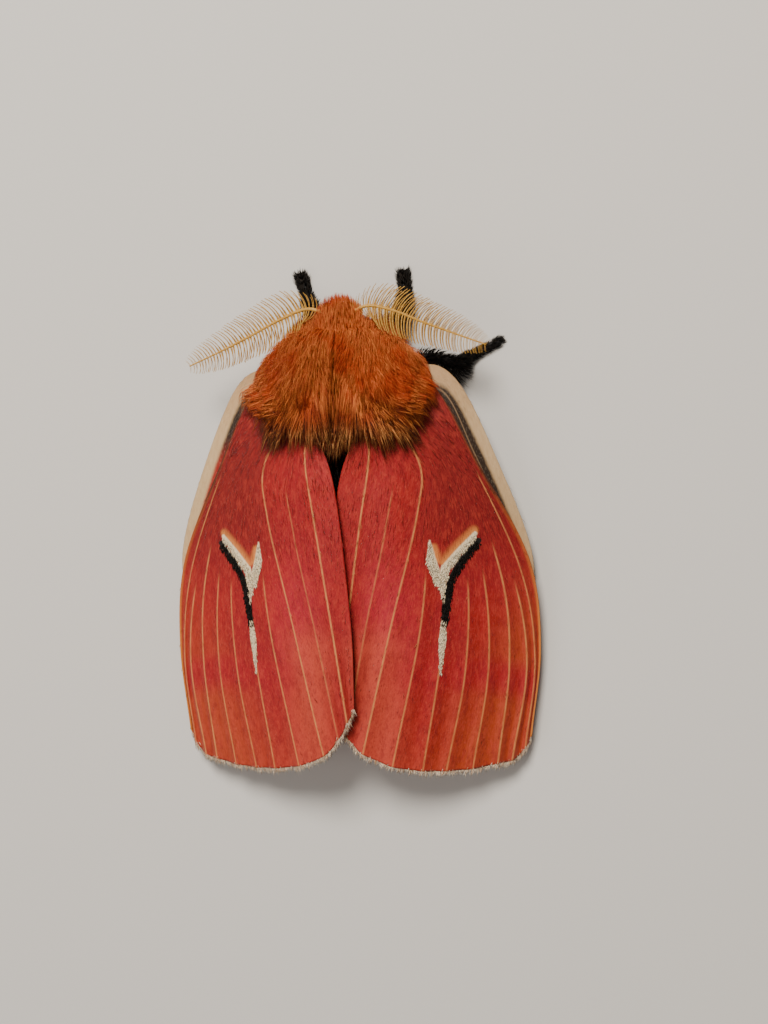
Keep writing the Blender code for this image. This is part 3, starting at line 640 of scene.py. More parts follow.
def fur_finish(name, depth):
    """Orange fur with golden tips, with painted shade: darker at the rear, in the valley and at the neck and
    head. Depth is 1 for the layer below, darkened by painted shade deep in the coat and darker under-hair.
    """
    paint = Finish(name, 0.6, specular=0.2)
    orange, x, y = orange_share(paint)
    reach, tone = paint.value("reach"), paint.value("tone")
    rear = 1.0 - (y + tone * 1.5).step(8.8, 13.0)
    rim = 1.0 - (y + tone).step(8.4, 10.8)
    valley = (1.0 - (abs(x) + reach * 0.8).step(0.3, 2.3)) * (1.0 - y.step(9.0, 15.5))
    bright = paint.blend(tone, srgb(146, 42, 14), srgb(240, 136, 62))
    shaded = paint.blend(tone, srgb(44, 16, 6), srgb(140, 56, 20))
    golden = paint.blend(tone, srgb(198, 104, 36), srgb(238, 176, 104))
    patches = paint.noise(paint.place(), (0.34, 0.2, 0.34), 2.0)
    bright = paint.blend(patches.step(0.42, 0.62) * 0.6, bright, srgb(186, 44, 12))
    # Painted shade: low-toned strands at the rear and the valley between the lobes darker
    painted_shade_rear_and_valley = (rear * (1.0 - tone.step(0.55, 0.9))).most(valley * 0.75)
    colour = paint.blend(painted_shade_rear_and_valley, bright, shaded)
    colour = paint.blend(rim * reach.step(0.45, 0.95) * tone.step(0.6, 0.8) * 0.85, colour, golden)
    colour = paint.blend((1.0 - reach.step(0.0, 0.45)) * 0.5, colour, srgb(104, 32, 8))
    # Painted shade: the fur at the neck and on the head darker
    colour = paint.blend(y.step(17.5, 20.0) * 0.2, colour, srgb(112, 34, 6))
    # The layer below is darker, more so at the rear: painted shade deep in the coat, with darker under-hair
    colour = paint.blend((rear * 0.3 + 0.6) * depth, colour, srgb(56, 18, 6))
    dark = paint.blend(tone, srgb(14, 11, 10), srgb(46, 34, 26))
    paint.feed("Base Color", paint.blend(orange, dark, colour))
    return paint.material


def dark_hair_finish(name):
    """Black hair with a brown gleam at its tips."""
    paint = Finish(name, 0.6, specular=0.15)
    reach, tone = paint.value("reach"), paint.value("tone")
    colour = paint.blend(tone, srgb(7, 6, 5), srgb(24, 20, 16))
    colour = paint.blend(reach.step(0.5, 1.0) * tone * 0.6, colour, srgb(58, 46, 32))
    paint.feed("Base Color", colour)
    return paint.material


def skin_finish(name):
    """The body's skin, which carries the coat's colours, with a fine grain."""
    paint = Finish(name, 0.6)
    orange = orange_share(paint)[0]
    place = paint.place()
    grain = paint.noise(place, (4.0, 4.0, 4.0), 3.0)
    under = paint.blend(grain, srgb(96, 36, 12), srgb(150, 62, 20))
    black = paint.blend(grain, srgb(12, 10, 10), srgb(34, 28, 26))
    paint.feed("Base Color", paint.blend(orange, black, under))
    paint.bump(grain, 0.08)
    return paint.material


def scale_finish(name, low, high, tip):
    """Loose scales and fringe hairs: two tones and the colour of their tips."""
    paint = Finish(name, 0.65, specular=0.15)
    reach, tone = paint.value("reach"), paint.value("tone")
    colour = paint.blend(tone, srgb(*low), srgb(*high))
    at_tip = reach.step(0.35, 0.9) * tone.step(0.0, 0.6) * 0.8
    paint.feed("Base Color", paint.blend(at_tip, colour, srgb(*tip)))
    return paint.material


def antenna_finish(name, low, high):
    """Ochre horn between two tones, with a fine grain."""
    paint = Finish(name, 0.5)
    grain = paint.noise(paint.place(), (5.0, 5.0, 5.0), 2.0)
    paint.feed("Base Color", paint.blend(grain.step(0.3, 0.7), srgb(*low), srgb(*high)))
    paint.bump(grain, 0.03)
    return paint.material


def eye_finish(name):
    """A black eye of fine facets with a dull gloss."""
    paint = Finish(name, 0.12, specular=0.4)
    place = paint.place()
    facets = paint.node("ShaderNodeTexVoronoi", {}, {"Vector": place, "Scale": 9.0})
    shade = paint.noise(place, (1.2, 1.2, 1.2), 2.0)
    paint.feed("Base Color", paint.blend(shade, srgb(6, 4, 4), srgb(30, 14, 9)))
    paint.feed("Roughness", 0.07 + facets * 0.2)
    paint.bump(1.0 - facets, 0.012)
    return paint.material


# Wings

def roof_height(x, y):
    """Height of the forewings' surface: a rounded ridge that sinks beside the thorax."""
    back = y - RIDGE_TOP_Y
    ridge = RIDGE_TOP - 0.085 * (np.hypot(back, 6.0) - 6.0) - 0.015 * back
    sink = SHOULDER_SINK * smoothstep(6.0, 13.0, y) * smoothstep(12.0, 5.0, np.abs(x))
    return ridge - sink - ROOF_SLOPE * (np.hypot(x, RIDGE_ROUNDING) - RIDGE_ROUNDING)


def wing_root(y, drop):
    """Where a wing's surface meets the side of the thorax at this y."""
    x = np.linspace(THORAX_SIZE[0] / 2, THORAX_SIZE[0] * 1.3, 300)
    away = np.stack([x, np.full_like(x, y), roof_height(x, y) - drop], axis=1) - THORAX_CENTRE
    outside = np.linalg.norm(away / THORAX_SIZE, axis=1) >= 1.0
    return (x[np.argmax(outside)] - 0.2, y)


class Wing:
    """One wing's surface: points by their place across the lines and share along them."""

    def __init__(self, side, lines, veins, root_y, drop, rows, pleat):
        self.side = side
        self.drop = drop
        self.veins = [veins.get(name, HIDDEN_VEIN) for name in lines]
        self.last = len(lines) - 1
        self.rows = rows
        self.pleat = pleat
        rear, front = root_y
        roots = [wing_root(rear + (front - rear) * k / self.last, drop) for k in range(self.last + 1)]
        self.table = np.stack([
            even_points([root, *points], rows) for root, points in zip(roots, lines.values())])

    def plan(self, place, share):
        """Plan positions on the right wing at each place across and share along."""
        rows = np.asarray(share) * (self.rows - 1)
        place = np.asarray(place, float)
        low = np.clip(rows.astype(int), 0, self.rows - 2)
        part = (rows - low)[..., None]
        first = np.clip(place.astype(int), 0, self.last - 1)
        t = (place - first)[..., None]

        def line(k):
            k = np.clip(k, 0, self.last)
            return self.table[k, low] * (1 - part) + self.table[k, low + 1] * part

        start, end = line(first), line(first + 1)
        before = np.where((first > 0)[..., None], line(first - 1), 2 * start - end)
        after = np.where((first < self.last - 1)[..., None], line(first + 2), 2 * end - start)
        return between(before, start, end, after, t)

    def shown(self, place, share):
        """How clearly the nearest vein shows."""
        starts, clear = np.array(self.veins).T[:, np.rint(place).astype(int)]
        return clear * smoothstep(starts, starts + 0.06, share)

    def costa_gap(self, place, share):
        """The distance in plan from the front edge."""
        edge = self.plan(np.full_like(place, self.last), share)
        return np.linalg.norm(self.plan(place, share) - edge, axis=-1)

    def surface(self, place, share):
        """Points of the membrane's middle, with raised veins and pleats, and how far each vein is."""
        place, share = np.broadcast_arrays(np.asarray(place, float), np.asarray(share, float))
        flat = self.plan(place, share)
        x, y = flat[..., 0], flat[..., 1]
        gap = np.linalg.norm(flat - self.plan(np.rint(place), share), axis=-1)
        lift = WING_OVERLAP_LIFT * smoothstep(6.0, 2.0, np.abs(x)) * smoothstep(8.0, 3.0, y)
        height = roof_height(x, y) - self.side * lift - self.drop
        height = height + 0.07 * np.exp(-((gap / 0.13) ** 2)) * self.shown(place, share)
        fold = 0.5 - 0.5 * np.cos(math.tau * (place - np.floor(place)))
        height = height - self.pleat * fold * smoothstep(0.35, 1.0, share)
        return np.stack([self.side * x, y, height], axis=-1), gap

    def directions(self, place, share):
        """The surface's upward directions and those along the wing."""
        step, aside = 0.02, 0.2
        ahead = (self.surface(place, np.minimum(share + step, 1.0))[0]
                 - self.surface(place, np.maximum(share - step, 0.0))[0])
        wide = (self.surface(np.minimum(place + aside, self.last), share)[0]
                - self.surface(np.maximum(place - aside, 0.0), share)[0])
        up = unit(np.cross(ahead, wide))
        return up * np.sign(up[..., 2:3]), unit(ahead)


def wing_columns(last):
    """Places across the lines, closest beside each vein."""
    beside = (-0.3, -0.14, -0.06, 0.0, 0.06, 0.14, 0.3, 0.5)
    places = {round(k + offset, 3) for k in range(last + 1) for offset in beside}
    return np.array(sorted(place for place in places if 0.0 <= place <= last))


def add_membrane(name, wing, upper, under):
    """A wing's thin membrane as one closed piece."""
    places = wing_columns(wing.last)
    place, share = np.meshgrid(places, np.linspace(0.0, 1.0, wing.rows))
    points, gap = wing.surface(place, share)
    wide = len(places)
    faces = []
    for j in range(wing.rows - 1):
        for i in range(wide - 1):
            a = j * wide + i
            face = (a, a + wide, a + wide + 1, a + 1)
            faces.append(face if wing.side > 0 else face[::-1])
    obj = new_object(name, points.reshape(-1, 3), faces, upper, under)
    set_values(obj, vein_gap=gap, vein_show=wing.shown(place, share), costa_gap=wing.costa_gap(place, share))
    set_map(obj, "Lay", np.stack([place / places[-1], share], axis=-1).reshape(-1, 2))
    skin = obj.modifiers.new("membrane", "SOLIDIFY")
    skin.thickness = MEMBRANE * MM
    skin.offset = 0.0
    skin.material_offset = 1
    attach(obj, "root")
    return obj


def add_wing_hair(name, wing, place, share, length, lean, lift, width, material, slot, base=0.05, **values):
    """Tufts rooted on a wing that lie along it. Lean turns them from its lay to its outer side."""
    points, _ = wing.surface(place, share)
    up, along = wing.directions(place, share)
    across = np.cross(along, up) * wing.side
    away = unit(along + across * np.asarray(lean)[..., None])
    roots = points + up * base
    length = np.asarray(length)[..., None]
    lift = np.asarray(lift)[..., None]
    bends = roots + (away * 0.5 + up * lift * 0.6) * length
    tips = roots + (away + up * lift * 0.5) * length
    places = map_places(place / wing.last, share)
    add_tufts(name, roots, bends, tips, width, up, places, material, slot, WING_TUFT, flat=0.35, **values)


# Body

def thorax_spots(y, turn):
    """Places on the thorax's skin at this y, turned this far round from the top, and the way outwards."""
    scale = np.sqrt(1.0 - ((y - THORAX_CENTRE[1]) / THORAX_SIZE[1]) ** 2)
    away = np.stack([THORAX_SIZE[0] * scale * np.sin(turn), y - THORAX_CENTRE[1],
                     THORAX_SIZE[2] * scale * np.cos(turn)], axis=1)
    return on_ellipsoid(THORAX_CENTRE, THORAX_SIZE, away)


def abdomen_middle(start, end, share):
    """The abdomen's middle line from start to end along Y, and its thickness there."""
    y = start + (end - start) * share
    swell = (0.8 + 0.2 * smoothstep(0.0, 0.25, share)) * np.sqrt(1.0 - 0.97 * share**3.2)
    return np.stack([0 * y, y, 5.9 - 0.9 * smoothstep(0.0, 0.4, share) - 0.4 * share], axis=1), swell


def add_skin(material):
    """One closed skin for the thorax, head, abdomen and legs."""
    points, faces = [], []

    def add_tube(course, radii, sides, squash=1.0):
        start = sum(len(p) for p in points)
        rings = tube_points(np.asarray(course, float), radii, sides, squash)
        rings[:, 2] = np.maximum(rings[:, 2], FLOOR_GAP)
        points.append(rings)
        faces.extend(tube_faces(len(course), sides, start))

    def add_ellipsoid(centre, size):
        y = centre[1] + size[1] * 0.995 * np.cos(np.linspace(math.pi, 0.0, 20))
        scale = np.sqrt(1.0 - ((y - centre[1]) / size[1]) ** 2)
        course = np.stack([np.full_like(y, centre[0]), y, np.full_like(y, centre[2])], axis=1)
        add_tube(course, size[0] * scale, 28, size[2] / size[0])

    add_ellipsoid(THORAX_CENTRE, THORAX_SIZE * 0.97)
    add_ellipsoid(HEAD_CENTRE, HEAD_SIZE * 0.95)
    shares = np.linspace(0.0, 1.0, 24)
    course, swell = abdomen_middle(ABDOMEN_START + 3.0, ABDOMEN_TIP + 0.6, shares)
    segments = 0.97 + 0.03 * np.cos(shares * math.tau * 8.0)
    add_tube(course, ABDOMEN_HALF_WIDTH * (swell * segments), 28, ABDOMEN_FLATTENING)
    for name in LEGS:
        course, radii, _ = leg_course(name, 60)
        add_tube(course, radii, 12)
    obj = new_object("skin", np.concatenate(points), faces, material)
    voxel = obj.modifiers.new("one_skin", "REMESH")
    voxel.mode = "VOXEL"
    voxel.voxel_size = SKIN_GRAIN * MM
    voxel.use_smooth_shade = True
    mesh = bpy.data.meshes.new_from_object(obj.evaluated_get(bpy.context.evaluated_depsgraph_get()))
    obj.modifiers.remove(voxel)
    obj.data = mesh
    mesh.materials.clear()
    mesh.materials.append(material)
    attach(obj, "root")
    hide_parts("thorax", "head", "abdomen", *LEGS)


def leg_course(name, count):
    """A leg's middle line from inside the thorax to the foot, its radii and its places by joint."""
    (x, y), joints = LEGS[name]
    inside = np.array([x * 0.6, y * 0.7 + THORAX_CENTRE[1] * 0.3, 4.2])
    aside, ahead = x / THORAX_SIZE[0], (y - THORAX_CENTRE[1]) / THORAX_SIZE[1]
    depth = THORAX_SIZE[2] * math.sqrt(1 - aside**2 - ahead**2)
    hip = np.array([x, y, THORAX_CENTRE[2] - depth - 0.1])
    places = np.linspace(0.0, len(joints) + 1.0, count)
    course = spline([inside, hip, *joints], places)
    radii = np.interp(places, range(6), LEG_RADII) * np.sqrt(1.0 - 0.85 * smoothstep(4.8, 5.0, places))
    return course, radii, places


def coat_surface(y, turn, reach):
    """Where the coat's outline lies at this y, turned this far round from the top, times its reach."""
    places, widths, heights = COAT_OUTLINE.T
    wide = np.interp(y, places, widths) * reach
    high = (np.interp(y, places, heights) - COAT_MIDDLE) * reach
    valley = 0.08 + 0.36 * smoothstep(16.0, 9.0, y)
    parting = 1.0 - valley * np.exp(-((turn / 0.26) ** 2))
    return np.stack([wide * np.sin(turn), y, COAT_MIDDLE + high * np.cos(turn) * parting], axis=-1)


def off_the_wings(points, clearance):
    """The points, raised where they would sink into a wing."""
    fore = smoothstep(14.7, 13.7, points[:, 1])
    over = roof_height(points[:, 0], points[:, 1]) + clearance
    raised = np.maximum(points[:, 2], over)
    points[:, 2] += (raised - points[:, 2]) * fore
    return points


def clumped(roots, tips, clumps, pull):
    """Tips drawn part of the way towards the tip of the nearest of a few chosen tufts."""
    chosen = draw.choice(len(roots), clumps, replace=False)
    nearest = np.empty(len(roots), int)
    batch = 2000
    for start in range(0, len(roots), batch):
        part = roots[start:start + batch]
        gaps = ((part[:, None] - roots[chosen][None]) ** 2).sum(axis=2)
        nearest[start:start + batch] = chosen[gaps.argmin(axis=1)]
    return tips + (tips[nearest] - tips) * np.asarray(pull)[:, None]


def fur_row(row):
    """The values of FUR_ROWS at a row, which may lie between two."""
    return (np.interp(row, range(len(FUR_ROWS)), column) for column in FUR_ROWS.T)


def fur_map(root_y, turn):
    """Places of the thorax's fur on its unwrap."""
    return np.stack([0.5 + 0.27 * turn, map_share((root_y - 8.0) / 10.0)], axis=1)


def fur_tufts(side, row, share, reach, length, stray, short, lead=None):
    """Tufts on one side of the thorax by their row and their share of the way round.

    Each leaves its root, bends and runs back over the coat, away from the middle of its lobe. It ends
    this far short of the coat's rim at most. Lead gives the row and share that each tip follows, where
    they aren't its own. The result is the roots, bends, tips, outward directions and unwrapped places.
    """
    root_y, bend_y, _, root_spread, bend_spread = fur_row(row)
    turn = np.radians(root_spread) * share
    surface, normal = thorax_spots(root_y, side * turn)
    bends = coat_surface(bend_y, np.radians(bend_spread) * share, reach * 1.08)
    lead_row, lead_share = (row, share) if lead is None else lead
    _, start_y, run, _, start_spread = fur_row(lead_row)
    start = coat_surface(start_y, np.radians(start_spread) * lead_share, reach)
    off = start[:, 0] - LOBE_MIDDLE
    fan = np.where(off < 0, 0.36, 0.24) * off * smoothstep(20.5, 14.5, start_y) + stray
    ahead = unit(np.stack([fan, -np.ones_like(fan)], axis=1))
    rim = np.interp(start[:, 0] + ahead[:, 0] * run, *FUR_RIM.T) + short
    run = np.minimum(run * length, np.maximum((start[:, 1] - rim) / -ahead[:, 1], 0.8))
    x, y = start[:, 0] + ahead[:, 0] * run, start[:, 1] + ahead[:, 1] * run
    x = np.maximum(x, 0.1 + np.abs(stray))
    wide = np.interp(y, *COAT_OUTLINE[:, :2].T) * reach
    tip_turn = np.arcsin(np.clip(x / wide, -1.0, 1.0)) + np.maximum(x / wide - 1.0, 0.0)
    tips = coat_surface(y, tip_turn, reach)
    settle = smoothstep(11.5, 7.0, y) * draw.uniform(0.3, 0.8, len(row))
    tips[:, 2] -= settle * np.maximum(tips[:, 2] - roof_height(tips[:, 0], y), 0.0)
    bends[:, 0] *= side
    tips[:, 0] *= side
    places = fur_map(root_y, side * turn)
    return surface - normal * ROOT_DEPTH, off_the_wings(bends, 0.9), tips, normal, places


def add_fur_layer(side, part, layer, material):
    """One layer of the thorax's fur on one side, gathered into locks towards the rear."""
    count, low, high, width, short = FUR_LAYERS[layer]
    row, share = draw.random(count) ** 0.85 * LAST_FUR_ROW, draw.random(count)
    roots, bends, tips, normal, places = fur_tufts(
        side, row, share, FLUFF[side] * draw.uniform(low, high, count), draw.uniform(0.5, 1.2, count),
        draw.normal(0, 0.13, count), short + draw.exponential(0.9, count) - 0.4)
    rear = smoothstep(2.0, 7.0, row)
    tips = clumped(roots, tips, 560, draw.uniform(0.0, 0.3, count) + 0.3 * rear)
    tips = clumped(roots, tips, 110, draw.uniform(0.1, 0.85, count) * rear)
    tips = off_the_wings(tips, 0.15 + 0.7 * draw.random(count))
    add_tufts(f"coat_thorax_{layer}_{part}", roots, bends, tips, width * draw.uniform(0.7, 1.25, count),
              normal, places, material, "orange_coat", FINE_TUFT if layer == "outer" else SHORT_TUFT)


def add_fur_locks(side, part, material):
    """Locks of fur on one side of the thorax: every tuft of a lock ends where its lock does."""
    lead_row = 1.0 + (LAST_FUR_ROW - 1.0) * draw.random(LOCKS) ** 0.6
    lead_share, stray = draw.uniform(0.12, 1.0, LOCKS), draw.normal(0, 0.12, LOCKS)
    short, reach = draw.normal(-0.8, 0.7, LOCKS), draw.uniform(0.92, 1.05, LOCKS)
    length = draw.uniform(1.0, 1.6, LOCKS)
    stand = draw.uniform(0.02, 0.12, LOCKS)
    reach = reach + stand * smoothstep(0.7, 1.0, lead_share) * smoothstep(2.0, 4.5, lead_row)
    lead_row, lead_share, stray, short, reach, length = (
        np.repeat(values, LOCK_TUFTS) for values in (lead_row, lead_share, stray, short, reach, length))
    count = LOCKS * LOCK_TUFTS
    row = np.clip(lead_row + draw.normal(0, 0.3, count), 0, LAST_FUR_ROW)
    share = np.clip(lead_share + draw.normal(0, 0.035, count), 0.02, 1.0)
    roots, bends, tips, normal, places = fur_tufts(
        side, row, share, FLUFF[side] * reach, length, stray + draw.normal(0, 0.02, count),
        short + draw.exponential(0.3, count), (lead_row, lead_share))
    tips = off_the_wings(tips, 0.2 + 0.8 * draw.random(count))
    add_tufts(f"coat_thorax_locks_{part}", roots, bends, tips, draw.uniform(0.05, 0.08, count), normal,
              places, material, "orange_coat", FINE_TUFT)


def add_thorax_coat(under, upper):
    """Dense fur that streams back from the neck over the roots of the wings, in two lobes."""
    for part, side in SIDES.items():
        for layer in FUR_LAYERS:
            add_fur_layer(side, part, layer, under if layer == "under" else upper)
        add_fur_locks(side, part, upper)


def add_stray_hair(material):
    """Long single hairs that stand out past the rim of the thorax's coat."""
    count = 420
    for part, side in SIDES.items():
        row, share = draw.uniform(3.0, LAST_FUR_ROW, count), draw.uniform(0.1, 1.0, count)
        roots, bends, tips, normal, places = fur_tufts(
            side, row, share, draw.uniform(0.98, 1.08, count), draw.uniform(1.2, 1.9, count),
            draw.normal(0.1, 0.2, count), draw.normal(-1.0, 0.6, count))
        tips = off_the_wings(tips, 0.3 + 0.9 * draw.random(count))
        add_tufts(f"coat_thorax_strays_{part}", roots, bends, tips, draw.uniform(0.035, 0.05, count), normal,
                  places, material, "orange_coat", STRAY_HAIR)


def add_centre_tuft(material):
    """The narrow tuft that lies between the two lobes, over the ridge of the wings."""
    count = 1100
    root_y, turn = draw.uniform(8.4, 11.0, count), draw.normal(0, 0.12, count)
    surface, normal = thorax_spots(root_y, turn)
    tip_y = root_y - 1.6 - 2.2 * draw.random(count)
    tip_y = np.maximum(tip_y, draw.uniform(4.9, 6.6, count))
    tip_x = draw.normal(0, 1, count) * (0.3 + 0.25 * np.abs(tip_y - 5.2))
    tips = np.stack([tip_x, tip_y, roof_height(tip_x, tip_y) + draw.uniform(0.4, 1.2, count)], axis=1)
    bend_height = roof_height(0, root_y) + draw.uniform(0.9, 1.5, count)
    bends = np.stack([tip_x * 0.9, root_y - 0.5, bend_height], axis=1)
    add_tufts("coat_thorax_centre", surface - normal * ROOT_DEPTH, bends, tips,
              draw.uniform(0.06, 0.1, count), normal, fur_map(root_y, turn), material, "orange_coat")


def add_under_coat(material):
    """Short dark hair on the sides and underside of the thorax."""
    away = unit(draw.normal(0, 1, (6500, 3))) * THORAX_SIZE
    away = away[(away[:, 2] < 1.2) & (away[:, 1] > -6.0) & (away[:, 1] < 6.9)]
    surface, normal = on_ellipsoid(THORAX_CENTRE, THORAX_SIZE * 0.97, away)
    count = len(surface)
    length = draw.uniform(0.8, 1.5, (count, 1))
    lay = unit(normal * 0.55 + np.array([0.0, -1.0, -0.15]) + draw.normal(0, 0.15, (count, 3)))
    bends = surface + normal * length * 0.45
    tips = surface + lay * length
    turn = np.arctan2(surface[:, 0], surface[:, 2] - THORAX_CENTRE[2])
    places = map_places(turn / math.tau + 0.5, (surface[:, 1] - 5.0) / 14.0)
    add_tufts("coat_underside", surface - normal * 0.2, bends, tips, draw.uniform(0.1, 0.16, count), normal,
              places, material, "black_coat", SHORT_TUFT)


def add_head_coat(material):
    """Fur on the head, brushed up and forward into a tuft between the antennae."""
    away = unit(draw.normal(0, 1, (8200, 3)))
    away = away[away[:, 1] > -0.6]
    roots_of_antennae = [unit(ANTENNA_ROOT * (side, 1, 1)) for side in (-1, 1)]
    near = np.max([away @ axis for axis in roots_of_antennae], axis=0)
    surface, normal = on_ellipsoid(HEAD_CENTRE, HEAD_SIZE * 0.95, away * HEAD_SIZE)
    eye = np.linalg.norm(surface * np.sign(surface[:, :1]) ** np.array([1, 0, 0]) - EYE_CENTRE, axis=1)
    keep = (near < math.cos(math.radians(8))) & (eye > EYE_RADIUS * 0.9)
    surface, normal, away = surface[keep], normal[keep], away[keep]
    count = len(surface)
    top = smoothstep(-0.3, 0.6, away[:, 2])
    length = (0.9 + 1.1 * top) * draw.uniform(0.7, 1.1, count)
    to_peak = unit(HEAD_PEAK - surface)
    lay = unit(normal * 0.75 + to_peak * (0.75 * top)[:, None] + np.array([0.0, 0.25, 0.1]))
    tips = surface + lay * length[:, None]
    tips = clumped(surface, tips, 340, draw.uniform(0.0, 0.45, count))
    bends = surface + normal * (0.45 * length)[:, None] + draw.normal(0, 0.06, (count, 3))
    turn = np.arctan2(surface[:, 0], surface[:, 2] - HEAD_CENTRE[2])
    places = map_places(turn / math.tau + 0.5, (surface[:, 1] - 16.0) / 5.2)
    add_tufts("coat_head", surface - normal * 0.2, bends, tips, draw.uniform(0.05, 0.09, count), normal,
              places, material, "orange_coat")


def add_collar(material):
    """Fur at the sides of the neck, which spreads forward over the eyes."""
    count = 4000
    root_y = draw.uniform(16.4, 18.5, count)
    turn = draw.uniform(0.45, 1.75, count) * draw.choice((-1, 1), count)
    surface, normal = thorax_spots(root_y, turn)
    reach = draw.uniform(0.78, 1.0, count)
    bends = coat_surface(root_y + 0.3, turn, reach * 0.9)
    tip_y = root_y + draw.uniform(0.2, 2.6, count)
    tips = coat_surface(tip_y, turn * 1.05 + draw.normal(0, 0.06, count), reach)
    tips = clumped(surface, tips, 110, draw.uniform(0.1, 0.6, count))
    places = map_places(0.5 + turn / math.tau, (root_y - 16.0) / 2.5)
    add_tufts("coat_collar", surface - normal * ROOT_DEPTH, bends, tips, draw.uniform(0.06, 0.1, count),
              normal, places, material, "orange_coat")


def add_leg_coat(material):
    """Black hair along every leg, longest on the thighs and shins."""
    count = 2000
    legs = []
    for index, name in enumerate(LEGS):
        course, radii, joints = leg_course(name, LEG_STEPS)
        row = (draw.uniform(0.16, 1.0, count) * (LEG_STEPS - 1)).astype(int)
        centre, radius = course[row], radii[row]
        along = unit(np.gradient(course, axis=0))[row]
        side = unit(np.cross(along, (0.0, 0.0, 1.0)))
        lift = np.cross(side, along)
        turn = draw.uniform(0, math.tau, count)
        out = side * np.cos(turn)[:, None] + lift * np.sin(turn)[:, None]
        lengths = FORELEG_HAIR if name.startswith("foreleg") else LEG_HAIR
        hair = np.interp(joints[row], range(6), lengths) * draw.uniform(0.6, 1.15, count)
        if name == "midleg_right":
            below = smoothstep(0.2, 0.9, -(out @ np.array([0.3, 0.9, 0.2])))
            hair = hair * (1 + 1.9 * below * np.exp(-(((joints[row] - 2.8) / 0.5) ** 2)))
        roots = centre + out * (radius * 0.8)[:, None]
        tips = roots + unit(along * 0.8 + out * 0.75 + draw.normal(0, 0.12, (count, 3))) * hair[:, None]
        bends = roots + out * (0.45 * hair)[:, None] + along * (0.2 * hair)[:, None]
        for points in (roots, bends, tips):
            points[:, 2] = np.maximum(points[:, 2], FLOOR_GAP)
        strip = 0.01 + (index + 0.94 * turn / math.tau) / 6.1
        places = np.stack([strip, map_share(row / (LEG_STEPS - 1))], axis=1)
        legs.append((roots, bends, tips, draw.uniform(0.09, 0.15, count), out, places))
    joined = [np.concatenate(arrays) for arrays in zip(*legs)]
    add_tufts("coat_legs", *joined, material, "black_coat", LEG_TUFT)


def add_abdomen_coat(material):
    """Black hair along the abdomen and the tuft at its end."""
    count = 6000
    share = draw.random(count) ** 0.85
    middle, swell = abdomen_middle(ABDOMEN_START + 1.2, ABDOMEN_TIP + 0.9, share)
    turn = draw.uniform(0, math.tau, count)
    out = np.stack([np.sin(turn), 0 * turn, np.cos(turn)], axis=1)
    roots = middle + out * np.array([4.0, 1.0, 3.2]) * swell[:, None]
    tail = smoothstep(0.8, 1.0, share)
    length = draw.uniform(0.8, 1.4, count) * (1 + 1.5 * tail)
    back = np.array([0.0, -1.0, 0.0])
    lay = unit(back + out * (0.32 - 0.1 * tail)[:, None] + draw.normal(0, 0.08, (count, 3)))
    tips = roots + lay * length[:, None]
    bends = roots + (back * 0.3 + out * 0.35) * length[:, None]
    places = map_places(turn / math.tau, share)
    add_tufts("coat_abdomen", roots, bends, tips, draw.uniform(0.12, 0.2, count), out, places, material,
              "black_coat", SHORT_TUFT)


def add_eye(part, material):
    """One round eye, half sunk in the head."""
    ball = bmesh.new()
    bmesh.ops.create_icosphere(ball, subdivisions=5, radius=EYE_RADIUS)
    points = np.array([vertex.co for vertex in ball.verts]) + EYE_CENTRE * (SIDES[part], 1, 1)
    faces = [[vertex.index for vertex in face.verts] for face in ball.faces]
    ball.free()
    obj = new_object(f"eyeball_{part}", points, faces, material)
    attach(obj, "root")
    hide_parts(f"eye_{part}")


def add_claws(material):
    """Two small hooks at the end of each foot."""
    roots, bends, tips = [], [], []
    for name in LEGS:
        course, _, _ = leg_course(name, 100)
        end, before = course[-1], course[-6]
        ahead = unit((end - before) * (1, 1, 0))
        side = np.array([-ahead[1], ahead[0], 0.0])
        for turn in (-1, 1):
            roots.append(end - ahead * 0.1 + side * turn * 0.07)
            bends.append(end + ahead * 0.25 + side * turn * 0.2 + (0, 0, 0.12))
            tips.append(np.append((end + ahead * 0.36 + side * turn * 0.3)[:2], FLOOR_GAP))
    count = len(roots)
    places = np.stack([np.linspace(0.1, 0.9, count), np.full(count, 0.5)], axis=1)
    up = np.tile((0.0, 0.0, 1.0), (count, 1))
    add_tufts("claws", roots, bends, tips, np.full(count, 0.15), up, places, material, "black_coat", CLAW,
              sides=8, flat=1.0)


# Antennae

